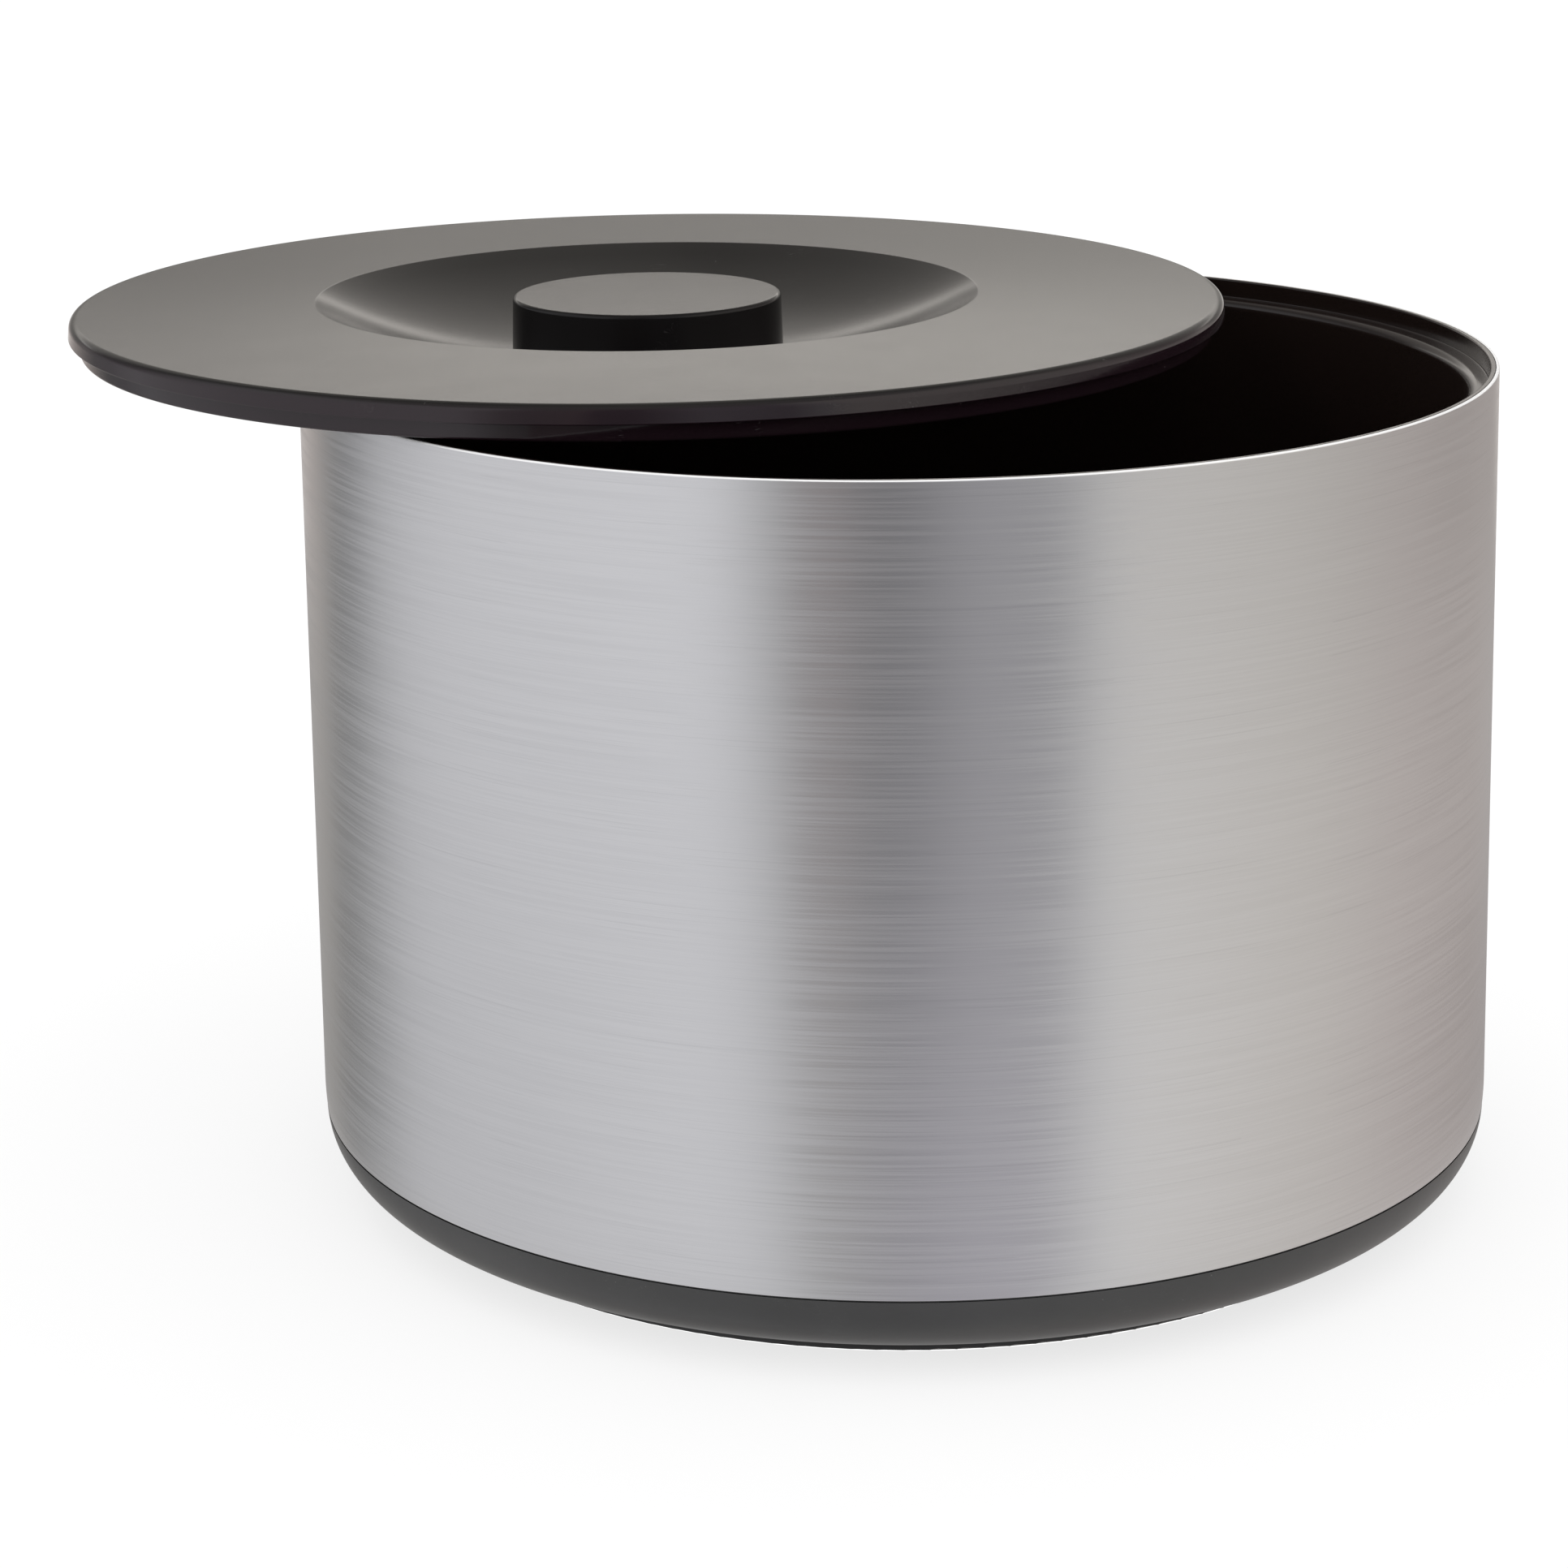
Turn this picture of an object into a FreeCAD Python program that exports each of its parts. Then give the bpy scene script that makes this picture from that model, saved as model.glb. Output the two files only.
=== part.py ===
import FreeCAD, Part
import math
import os
import Sketcher

# Round double-walled ice bucket with a lift-off lid.
#
# Frame: millimetres, +Z up. The origin is the centre of the flat underside of the
# base plate, on the axis of the bucket. The lid is parked on the rim, slid towards
# -X and +Y, as it stands while the bucket is being served from.
#
# Bucket: a brushed aluminium sleeve is clamped between a moulded base shell and the
# rim of a moulded inner liner. Foam fills the space between the walls. Four screws
# run up through the base plate and the base shell into bosses under the liner.
# Lid: a dished top shell and an underside shell with a foam ring between them, and a
# hollow knob held by one screw from below.

# ---------------------------------------------------------------- driving sizes
# alias, value, meaning
SIZES = [
    # bucket
    ("rim_z", 203.0, "height of the rim above the table"),
    ("sleeve_rad", 145.0, "outer radius of the aluminium sleeve"),
    ("sleeve_wall", 0.8, "sheet thickness of the sleeve"),
    ("sleeve_low", 20.0, "height of the sleeve's lower edge"),
    ("sleeve_roll", 0.3, "how far the lower edge is rolled in"),
    ("sleeve_roll_rise", 6.0, "height over which it is rolled in"),
    ("recess_rad", 142.8, "radius of the lid recess in the rim"),
    ("recess_deep", 4.8, "depth of the ledge below the rim"),
    ("mouth_rad", 137.4, "radius of the mouth below the ledge"),
    ("lip_round", 2.5, "rounding of the ledge's inner edge"),
    ("rim_round", 0.5, "rounding of the rim's inner edge"),
    ("rim_gap", 0.1, "clearance of the liner's skirt in the sleeve"),
    ("skirt_low", 186.0, "lower end of the liner's skirt"),
    ("skirt_wall", 2.2, "thickness of the liner's skirt"),
    ("ledge_wall", 2.6, "thickness of the ledge"),
    ("well_rad", 131.0, "inner radius of the liner at its floor"),
    ("well_floor", 24.0, "height of the liner's floor"),
    ("liner_wall", 2.3, "thickness of the liner's wall"),
    ("liner_floor_wall", 2.5, "thickness of the liner's floor"),
    ("well_corner", 14.0, "corner between the liner's wall and floor"),
    # base
    ("foot_rad", 126.2, "radius of the base plate"),
    ("foot_thick", 2.1, "thickness of the base plate"),
    ("foot_rim", 4.2, "height of the base plate's edge"),
    ("foot_rim_wall", 2.2, "thickness of that edge"),
    ("foot_round", 0.6, "rounding of the base plate's lower edge"),
    ("foot_ring_gap", 0.3, "clearance of the base plate's ring in its recess"),
    ("foot_top_gap", 0.1, "clearance of ring and cups below the base shell"),
    ("groove_gap", 0.5, "shadow gap between base plate and base shell"),
    ("base_foot_rad", 133.0, "radius of the base shell's lower edge"),
    ("base_curve", 16.0, "radius of the base shell's outer curve"),
    ("base_curve_in", 13.4, "radius of the base shell's inner curve"),
    ("base_curve_shift", 1.4, "inward shift of the inner curve's lower end"),
    ("base_wall", 2.6, "thickness of the base shell"),
    ("base_recess_rad", 118.5, "radius of the recess that takes the base plate"),
    ("base_floor_low", 6.0, "underside of the base shell's floor"),
    ("base_floor_wall", 2.5, "thickness of the base shell's floor"),
    ("spigot_top", 30.0, "upper end of the spigot inside the sleeve"),
    ("spigot_wall", 1.9, "thickness of the spigot"),
    ("spigot_gap", 0.2, "clearance of the spigot in the sleeve's lower edge"),
    ("spigot_drop", 2.3, "how far its inside runs below the sleeve's edge"),
    # screws of the base
    ("tie_ring_rad", 100.0, "radius of the circle the base screws stand on"),
    ("tie_count", 4.0, "number of base screws"),
    ("tie_rad", 1.85, "radius of a base screw"),
    ("tie_head_rad", 4.0, "radius of a base screw's head"),
    ("tie_head_low", 0.9, "lower end of a base screw's head"),
    ("tie_head_thick", 2.95, "height of a base screw's head"),
    ("tie_bevel_wide", 0.7, "width of the bevel on the head"),
    ("tie_bevel_tall", 0.9, "height of the bevel on the head"),
    ("tie_slot_arm", 2.2, "reach of an arm of the cross slot"),
    ("tie_slot_half", 0.5, "half the width of an arm"),
    ("tie_slot_deep", 1.6, "depth of the cross slot"),
    ("tie_top", 19.2, "upper end of a base screw"),
    ("tie_tip_tall", 2.4, "height of a base screw's tapered tip"),
    ("tie_tip_rad", 0.3, "radius at the end of the tip"),
    ("tie_hole_rad", 2.2, "clearance hole for a base screw"),
    ("tie_cup_rad", 7.5, "outside of the cup in the base plate"),
    ("tie_cup_sink", 0.5, "how far a cup is sunk into the base plate"),
    ("tie_cup_hole_rad", 5.2, "pocket for the head in the base plate"),
    ("tie_cup_deep", 3.9, "depth of that pocket"),
    ("boss_rad", 6.0, "outside of a boss under the liner"),
    ("boss_low", 8.6, "lower end of a boss"),
    ("boss_sink", 1.0, "how far a boss runs into the liner's floor"),
    ("boss_hole_rad", 1.9, "pilot hole in a boss"),
    ("boss_hole_deep", 11.2, "depth of the pilot hole"),
    ("cut_over", 1.0, "overrun of a through cut past each face"),
    # foam
    ("foam_gap", 0.3, "clearance round the foam pieces"),
    ("foam_low", 31.0, "lower end of the wall foam"),
    ("foam_top", 185.6, "upper end of the wall foam"),
    ("foam_low_gap", 0.1, "clearance at the wall foam's lower outer edge"),
    ("foam_full_rise", 6.0, "height above the sleeve's roll where it is full width"),
    ("foam_disc_rad", 126.0, "radius of the floor foam"),
    ("foam_disc_low", 9.0, "underside of the floor foam"),
    ("foam_disc_top", 21.2, "top of the floor foam"),
    ("foam_disc_bevel", 3.0, "bevel of the floor foam's upper edge"),
    # lid, in its own frame: its top edge plane is at lid_top_z
    ("lid_x", -60.7, "place of the parked lid along X"),
    ("lid_y", 36.3, "place of the parked lid along Y"),
    ("lid_rest_gap", 0.05, "clearance of the parked lid over the rim"),
    ("lid_top_z", 40.0, "plane of the lid's top edge"),
    ("lid_crown", 0.9, "rise of the lid's top towards the dish"),
    ("lid_rad", 144.9, "largest radius of the lid, at the seam"),
    ("lid_draft", 0.4, "draft of the lid's edge band"),
    ("lid_band", 4.5, "height of the lid's edge band"),
    ("lid_edge_round", 2.2, "rounding of the lid's top edge"),
    ("lid_skin", 2.4, "thickness of the top shell"),
    ("lid_band_wall", 4.3, "thickness of the edge band"),
    ("lid_band_draft", 0.2, "draft of the band's inside"),
    ("lid_skin_drop", 0.2, "extra drop of the top shell's underside at the band"),
    ("dish_depth", 14.35, "depth of the dish"),
    ("dish_flat_rad", 19.9, "radius of the dish's flat floor"),
    ("dish_curve", 139.0, "radius of the dish's curved wall"),
    ("dish_angle", 25.0, "slope of the dish's wall at its edge, degrees"),
    ("dish_edge_round", 1.2, "rounding of the dish's edge"),
    ("hub_rad", 12.5, "outside of the raised hub in the dish"),
    ("hub_hole_rad", 10.1, "inside of the raised hub"),
    ("hub_rise", 5.0, "height of the raised hub"),
    ("hub_bore_rad", 3.3, "clearance bore for the knob screw"),
    ("seam_gap", 0.2, "seam between top shell and underside shell"),
    ("lip_rad", 142.0, "radius of the lower lip, which drops into the rim's recess"),
    ("lip_low", 8.8, "lower lip's depth below the top edge plane"),
    ("plug_rad", 134.5, "radius of the plug, which sits in the mouth"),
    ("plug_low", 10.0, "plug's depth below the top edge plane"),
    ("plug_wall", 2.3, "thickness of the plug's wall"),
    ("upstand_gap", 0.6, "clearance of the underside's upstand in the top shell"),
    ("under_skin", 2.2, "thickness of the underside shell's plate"),
    ("under_bowl_wall", 2.1, "thickness of the underside shell's bowl"),
    ("under_gap", 0.5, "space between dish and underside bowl"),
    ("under_round", 0.8, "rounding of the lower lip and the plug"),
    ("access_rad", 9.5, "radius of the access hole below the screw"),
    ("lid_foam_in", 84.0, "inner radius of the lid's foam ring"),
    ("lid_foam_out", 131.5, "outer radius of the lid's foam ring"),
    ("lid_foam_drop", 0.2, "clearance over the foam ring's outer edge"),
    # knob
    ("knob_rad", 33.85, "radius of the knob at its top"),
    ("knob_foot_rad", 34.25, "radius of the knob at its foot"),
    ("knob_stand", 0.8, "height of the knob's foot above the dish's flat floor"),
    ("knob_rise", 0.7, "height of the knob above the top edge plane"),
    ("knob_wall", 2.5, "thickness of the knob's wall"),
    ("knob_top_wall", 3.0, "thickness of the knob's top"),
    ("knob_round", 1.0, "rounding of the knob's top edge"),
    ("knob_boss_rad", 8.0, "radius of the knob's boss"),
    ("knob_rib", 1.6, "thickness of a rib in the knob"),
    ("knob_rib_count", 6.0, "number of ribs in the knob"),
    ("knob_rib_rise", 1.2, "height of the ribs' lower edge above the boss's end"),
    ("knob_rib_lap", 0.6, "overlap of a rib with the boss and the knob's top"),
    ("knob_rib_wall_lap", 0.8, "overlap of a rib with the knob's wall"),
    ("insert_rad", 4.1, "radius of the threaded insert"),
    ("insert_long", 5.8, "length of the threaded insert"),
    ("insert_sink", 0.2, "how far the insert sits inside the boss's end"),
    ("insert_end_gap", 0.3, "clearance above the insert"),
    ("insert_bevel_wide", 0.4, "width of the bevel at the insert's lower end"),
    ("insert_bevel_tall", 0.6, "height of that bevel"),
    ("insert_bore_gap", 0.04, "clearance of the knob screw in the insert"),
    ("seal_thick", 1.0, "thickness of the sealing ring"),
    ("seal_rad", 11.8, "radius of the sealing ring"),
    ("seal_bore_gap", 0.3, "how much wider its hole is than the hub's bore"),
    ("bolt_rad", 3.0, "radius of the knob screw"),
    ("bolt_head_rad", 5.0, "radius of the knob screw's head"),
    ("bolt_head_thick", 3.4, "height of the knob screw's head"),
    ("bolt_long", 10.3, "length of the knob screw above its head"),
    ("bolt_socket_rad", 2.0, "radius of the socket in the head"),
    ("bolt_socket_deep", 1.8, "depth of the socket in the head"),
    ("bolt_bevel_wide", 0.8, "width of the head's bevel"),
    ("bolt_bevel_tall", 1.0, "height of the head's bevel"),
    ("bolt_tip_bevel", 0.8, "bevel at the knob screw's tip"),
    ("washer_rad", 9.0, "radius of the washer"),
    ("washer_thick", 1.45, "thickness of the washer"),
    ("washer_bore_gap", 0.2, "clearance of the knob screw in the washer"),
    ("cap_thick", 1.5, "thickness of the screw cap"),
    ("cap_skirt", 3.7, "height of the screw cap"),
    ("cap_wall", 1.2, "thickness of the screw cap's skirt"),
    ("cap_gap", 0.1, "set-back of the cap in the access hole"),
    ("fit_gap", 0.05, "clearance between pieces that touch"),
]

doc = FreeCAD.newDocument("ice_bucket")
sheet = doc.addObject("Spreadsheet::Sheet", "Sizes")
for row, (alias, value, meaning) in enumerate(SIZES, start=1):
    sheet.set("A%d" % row, alias)
    sheet.set("B%d" % row, "%g" % value)
    sheet.set("C%d" % row, meaning)
    sheet.setAlias("B%d" % row, alias)
doc.recompute()


# ---------------------------------------------------------------- linked lengths
class Dim:
    """A length that carries its number and the sheet expression it comes from."""

    def __init__(self, value, formula):
        self.value = value
        self.formula = formula

    def __add__(self, other):
        return joined(self, "+", other, self.value + number(other))

    def __sub__(self, other):
        return joined(self, "-", other, self.value - number(other))

    def __mul__(self, other):
        return joined(self, "*", other, self.value * number(other))

    def __rmul__(self, other):
        return joined(other, "*", self, number(other) * self.value)

    def __truediv__(self, other):
        return joined(self, "/", other, self.value / number(other))

    def __neg__(self):
        return joined(0, "-", self, -self.value)


def joined(left, sign, right, value):
    return Dim(value, "(%s %s %s)" % (formula(left), sign, formula(right)))


def number(x):
    return x.value if isinstance(x, Dim) else float(x)


def formula(x):
    return x.formula if isinstance(x, Dim) else "%.6g" % float(x)


def root(x):
    return Dim(math.sqrt(number(x)), "sqrt(%s)" % formula(x))


def trig(name, angle):
    value = getattr(math, name)(math.radians(number(angle)))
    return Dim(value, "%s(%s * 1deg)" % (name, formula(angle)))


class SheetSizes:
    """Gives each alias of the sheet as a Dim attribute."""

    def __getattr__(self, alias):
        return Dim(float(sheet.get(alias)), "Sizes." + alias)


size = SheetSizes()


def drive(target, path, length):
    """Binds a property to the sheet; a plain number is left as it was set."""
    if isinstance(length, Dim):
        target.setExpression(path, length.formula)


# ---------------------------------------------------------------- sketches
ANTICLOCKWISE = 1
CLOCKWISE = -1
UP = FreeCAD.Vector(0, 0, 1)


def origin_feature(body, role):
    return [o for o in body.Origin.OriginFeatures if o.Role == role][0]


def new_sketch(body, name, role, lift=0):
    """Sketch on one of the body's origin planes, lifted along its normal."""
    sketch = body.newObject("Sketcher::SketchObject", name)
    sketch.AttachmentSupport = [(origin_feature(body, role), "")]
    sketch.MapMode = "FlatFace"
    sketch.AttachmentOffset = FreeCAD.Placement(
        FreeCAD.Vector(0, 0, number(lift)), FreeCAD.Rotation()
    )
    drive(sketch, "AttachmentOffset.Base.z", lift)
    return sketch


def bind_point(sketch, geometry, position, x, y):
    """Holds one sketch point at x, y from the sketch's origin."""
    for kind, axis, distance in (("DistanceX", -2, x), ("DistanceY", -1, y)):
        if abs(number(distance)) < 1e-9:
            sketch.addConstraint(
                Sketcher.Constraint("PointOnObject", geometry, position, axis)
            )
            continue
        ends = (-1, 1, geometry, position)
        if number(distance) < 0:
            # Measured from the point to the origin, so that the value is positive.
            ends = (geometry, position, -1, 1)
            distance = -distance
        index = sketch.addConstraint(Sketcher.Constraint(kind, *ends, number(distance)))
        drive(sketch, "Constraints[%d]" % index, distance)


def bind_radius(sketch, geometry, radius):
    index = sketch.addConstraint(Sketcher.Constraint("Radius", geometry, number(radius)))
    drive(sketch, "Constraints[%d]" % index, radius)


def add_line(sketch, start, end, construction=False):
    ends = [FreeCAD.Vector(number(p[0]), number(p[1]), 0) for p in (start, end)]
    return sketch.addGeometry(Part.LineSegment(*ends), construction)


def add_arc(sketch, start, end, radius, turn):
    """Arc of less than half a circle from start to end."""
    ax, ay = number(start[0]), number(start[1])
    bx, by = number(end[0]), number(end[1])
    r = number(radius)
    dx, dy = bx - ax, by - ay
    half_chord = math.hypot(dx, dy) / 2
    offset = math.sqrt(max(r * r - half_chord * half_chord, 0.0)) * turn
    cx = (ax + bx) / 2 - dy / (2 * half_chord) * offset
    cy = (ay + by) / 2 + dx / (2 * half_chord) * offset
    first = math.atan2(ay - cy, ax - cx)
    last = math.atan2(by - cy, bx - cx)
    if turn == CLOCKWISE:
        first, last = last, first
    if last < first:
        last += 2 * math.pi
    circle = Part.Circle(FreeCAD.Vector(cx, cy, 0), UP, r)
    geometry = sketch.addGeometry(Part.ArcOfCircle(circle, first, last), False)
    bind_radius(sketch, geometry, radius)
    return geometry


def closed_profile(sketch, points):
    """Closed outline through (x, y) points. A point given as (x, y, radius, turn)
    starts an arc that runs to the next point."""
    followers = points[1:] + points[:1]
    ends = []  # geometry, its start vertex, its end vertex
    for point, follower in zip(points, followers):
        if len(point) == 2:
            ends.append((add_line(sketch, point, follower), 1, 2))
            continue
        radius, turn = point[2:]
        geometry = add_arc(sketch, point, follower, radius, turn)
        ends.append((geometry, 1, 2) if turn == ANTICLOCKWISE else (geometry, 2, 1))
    for (geometry, _, last), (joint, first, _) in zip(ends, ends[1:] + ends[:1]):
        sketch.addConstraint(
            Sketcher.Constraint("Coincident", geometry, last, joint, first)
        )
    for (geometry, first, _), point in zip(ends, points):
        bind_point(sketch, geometry, first, point[0], point[1])


def tie_circle(body, name, lift, radius):
    """Circle on the +X axis, where the first base screw stands."""
    sketch = new_sketch(body, name, "XY_Plane", lift)
    centre = FreeCAD.Vector(number(size.tie_ring_rad), 0, 0)
    geometry = sketch.addGeometry(Part.Circle(centre, UP, number(radius)), False)
    bind_point(sketch, geometry, 3, size.tie_ring_rad, 0)
    bind_radius(sketch, geometry, radius)
    return sketch


# ---------------------------------------------------------------- features
def new_body(label):
    body = doc.addObject("PartDesign::Body", label)
    body.Label = label
    return body


def revolve(body, name, sketch, axis):
    feature = body.newObject("PartDesign::Revolution", name)
    feature.Profile = sketch
    feature.ReferenceAxis = (sketch, [axis])
    feature.Angle = 360
    doc.recompute()
    return feature


def turned(label, points):
    """A body turned about its own Z axis from a closed (radius, height) outline."""
    body = new_body(label)
    sketch = new_sketch(body, label + "_profile", "XZ_Plane")
    closed_profile(sketch, points)
    revolve(body, label + "_turn", sketch, "V_Axis")
    return body


def round_rings(body, name, rounding, rings):
    """Rounds the circular edges that lie at each (radius, height) in rings."""
    base = body.Tip
    edges = []
    for radius, height in rings:
        hits = [
            "Edge%d" % i
            for i, edge in enumerate(base.Shape.Edges, start=1)
            if isinstance(edge.Curve, Part.Circle)
            and abs(edge.Curve.Radius - number(radius)) < 0.01
            and abs(edge.Curve.Center.z - number(height)) < 0.01
            and math.hypot(edge.Curve.Center.x, edge.Curve.Center.y) < 0.01
        ]
        if not hits:
            raise RuntimeError(
                "%s: no edge at %g, %g" % (name, number(radius), number(height))
            )
        edges += hits
    fillet = body.newObject("PartDesign::Fillet", name)
    fillet.Base = (base, edges)
    fillet.Radius = number(rounding)
    drive(fillet, "Radius", rounding)
    doc.recompute()


def extrude_up(body, kind, name, sketch, length):
    """Pad or pocket that runs upwards from the sketch; fails if it changes nothing."""
    before = body.Shape.Volume
    feature = body.newObject("PartDesign::" + kind, name)
    feature.Profile = sketch
    feature.Type = 0
    feature.Length = number(length)
    drive(feature, "Length", length)
    if kind == "Pocket":
        feature.Reversed = True
    doc.recompute()
    change = body.Shape.Volume - before
    if (change if kind == "Pad" else -change) < 0.5:
        raise RuntimeError("%s changes nothing" % name)
    return feature


def pad_up(body, name, sketch, length):
    return extrude_up(body, "Pad", name, sketch, length)


def cut_up(body, name, sketch, length):
    return extrude_up(body, "Pocket", name, sketch, length)


def around(body, name, originals, count):
    """Repeats features evenly about the body's Z axis."""
    pattern = body.newObject("PartDesign::PolarPattern", name)
    pattern.Originals = originals
    pattern.Axis = (origin_feature(body, "Z_Axis"), [""])
    pattern.Angle = 360
    pattern.Occurrences = int(number(count))
    drive(pattern, "Occurrences", count)
    body.Tip = pattern
    doc.recompute()


# ---------------------------------------------------------------- bucket
rim = size.rim_z
sleeve_out = size.sleeve_rad
sleeve_in = sleeve_out - size.sleeve_wall
sleeve_low = size.sleeve_low
roll = size.sleeve_roll
roll_top = sleeve_low + size.sleeve_roll_rise

ledge_top = rim - size.recess_deep
ledge_low = ledge_top - size.ledge_wall
liner_low = size.well_floor - size.liner_floor_wall
liner_out_top = size.mouth_rad + size.liner_wall
liner_out_low = size.well_rad + size.liner_wall

# Top of the base plate's ring and cups.
cup_top = size.base_floor_low - size.foot_top_gap


def make_outer_sleeve():
    """Rolled tube with its cut edge showing at the rim and its lower edge rolled in
    a little to meet the base."""
    rise = size.sleeve_roll_rise
    roll_curve = (rise * rise + roll * roll) / (2 * roll)
    return turned(
        "outer_sleeve",
        [
            (sleeve_out - roll, sleeve_low, roll_curve, ANTICLOCKWISE),
            (sleeve_out, roll_top),
            (sleeve_out, rim),
            (sleeve_in, rim),
            (sleeve_in, roll_top, roll_curve, CLOCKWISE),
            (sleeve_in - roll, sleeve_low),
        ],
    )


def make_inner_liner():
    """Tapered tub whose rim carries the lid recess, the ledge and a skirt that
    centres the sleeve."""
    skirt_out = sleeve_in - size.rim_gap
    skirt_in = skirt_out - size.skirt_wall
    body = turned(
        "inner_liner",
        [
            (0, liner_low),
            (liner_out_low, liner_low),
            (liner_out_top, ledge_low),
            (skirt_in, ledge_low),
            (skirt_in, size.skirt_low),
            (skirt_out, size.skirt_low),
            (skirt_out, rim),
            (size.recess_rad, rim),
            (size.recess_rad, ledge_top),
            (size.mouth_rad, ledge_top),
            (size.well_rad, size.well_floor),
            (0, size.well_floor),
        ],
    )
    corner_out = size.well_corner + size.liner_wall
    for name, rounding, radius, height in (
        ("liner_lip_round", size.lip_round, size.mouth_rad, ledge_top),
        ("liner_rim_round", size.rim_round, size.recess_rad, rim),
        ("liner_well_corner", size.well_corner, size.well_rad, size.well_floor),
        ("liner_outer_corner", corner_out, liner_out_low, liner_low),
    ):
        round_rings(body, name, rounding, [(radius, height)])
    sketch = tie_circle(body, "liner_boss_circle", size.boss_low, size.boss_rad)
    boss_tall = liner_low - size.boss_low + size.boss_sink
    boss = pad_up(body, "liner_boss", sketch, boss_tall)
    sketch = tie_circle(body, "liner_pilot_circle", size.boss_low, size.boss_hole_rad)
    pilot = cut_up(body, "liner_pilot", sketch, size.boss_hole_deep)
    around(body, "liner_bosses", [boss, pilot], size.tie_count)
    return body


def make_base_shell():
    """Curved moulding that carries the sleeve on a shoulder and closes the foam
    space from below."""
    low = size.foot_rim + size.groove_gap
    shelf_top = low + size.base_wall
    floor_low = size.base_floor_low
    floor_top = floor_low + size.base_floor_wall
    recess = size.base_recess_rad
    spigot_out = sleeve_in - roll - size.spigot_gap
    spigot_in = spigot_out - size.spigot_wall
    body = turned(
        "base_shell",
        [
            (0, floor_low),
            (recess, floor_low),
            (recess, low),
            (size.base_foot_rad, low, size.base_curve, ANTICLOCKWISE),
            (sleeve_out - roll, sleeve_low),
            (spigot_out, sleeve_low),
            (spigot_out, size.spigot_top),
            (spigot_in, size.spigot_top),
            (spigot_in, sleeve_low - size.spigot_drop, size.base_curve_in, CLOCKWISE),
            (size.base_foot_rad - size.base_curve_shift, shelf_top),
            (recess + size.base_wall, shelf_top),
            (recess + size.base_wall, floor_top),
            (0, floor_top),
        ],
    )
    sketch = tie_circle(
        body, "base_tie_circle", floor_low - size.cut_over, size.tie_hole_rad
    )
    deep = size.base_floor_wall + 2 * size.cut_over
    hole = cut_up(body, "base_tie_hole", sketch, deep)
    around(body, "base_tie_holes", [hole], size.tie_count)
    return body


def make_base_plate():
    """Flat foot with a raised edge that stands back below the base shell. A ring on
    its back centres it in the base shell, and cups sink the screw heads."""
    rim_in = size.foot_rad - size.foot_rim_wall
    ring_out = size.base_recess_rad - size.foot_ring_gap
    ring_in = ring_out - size.base_wall
    body = turned(
        "base_plate",
        [
            (0, 0),
            (size.foot_rad, 0),
            (size.foot_rad, size.foot_rim),
            (rim_in, size.foot_rim),
            (rim_in, size.foot_thick),
            (ring_out, size.foot_thick),
            (ring_out, cup_top),
            (ring_in, cup_top),
            (ring_in, size.foot_thick),
            (0, size.foot_thick),
        ],
    )
    round_rings(body, "foot_edge_round", size.foot_round, [(size.foot_rad, 0)])
    cup_low = size.foot_thick - size.tie_cup_sink
    sketch = tie_circle(body, "foot_cup_circle", cup_low, size.tie_cup_rad)
    cup = pad_up(body, "foot_cup", sketch, cup_top - cup_low)
    sketch = tie_circle(body, "foot_pocket_circle", 0, size.tie_cup_hole_rad)
    pocket = cut_up(body, "foot_pocket", sketch, size.tie_cup_deep)
    sketch = tie_circle(body, "foot_tie_circle", 0, size.tie_hole_rad)
    bore = cut_up(body, "foot_tie_hole", sketch, cup_top + size.cut_over)
    around(body, "foot_cups", [cup, pocket, bore], size.tie_count)
    return body


def make_base_screws():
    """Self-tapping screws in one group, with plain shanks and cross-slotted heads."""
    body = new_body("base_screws")
    body.AllowCompound = True
    centre = size.tie_ring_rad
    head_out = centre + size.tie_head_rad
    head_low = size.tie_head_low
    head_top = head_low + size.tie_head_thick
    sketch = new_sketch(body, "base_screw_profile", "XZ_Plane")
    closed_profile(
        sketch,
        [
            (centre, head_low),
            (head_out - size.tie_bevel_wide, head_low),
            (head_out, head_low + size.tie_bevel_tall),
            (head_out, head_top),
            (centre + size.tie_rad, head_top),
            (centre + size.tie_rad, size.tie_top - size.tie_tip_tall),
            (centre + size.tie_tip_rad, size.tie_top),
            (centre, size.tie_top),
        ],
    )
    # The screw's own upright axis, as a construction line of any length.
    axis_ends = [(centre, 0), (centre, 30)]
    axis = add_line(sketch, *axis_ends, construction=True)
    for position, (x, y) in enumerate(axis_ends, start=1):
        bind_point(sketch, axis, position, x, y)
    screw = revolve(body, "base_screw_turn", sketch, "Axis0")

    arm = size.tie_slot_arm
    half = size.tie_slot_half
    cross = [
        (arm, -half), (arm, half), (half, half), (half, arm),
        (-half, arm), (-half, half), (-arm, half), (-arm, -half),
        (-half, -half), (-half, -arm), (half, -arm), (half, -half),
    ]
    sketch = new_sketch(body, "base_screw_cross", "XY_Plane", head_low)
    closed_profile(sketch, [(centre + x, y) for x, y in cross])
    slot = cut_up(body, "base_screw_slot", sketch, size.tie_slot_deep)
    around(body, "base_screw_set", [screw, slot], size.tie_count)
    return body


def liner_outside(z):
    """Radius of the liner's tapered outside at height z."""
    slope = (liner_out_top - liner_out_low) / (ledge_low - liner_low)
    return liner_out_low + slope * (z - liner_low)


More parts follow.
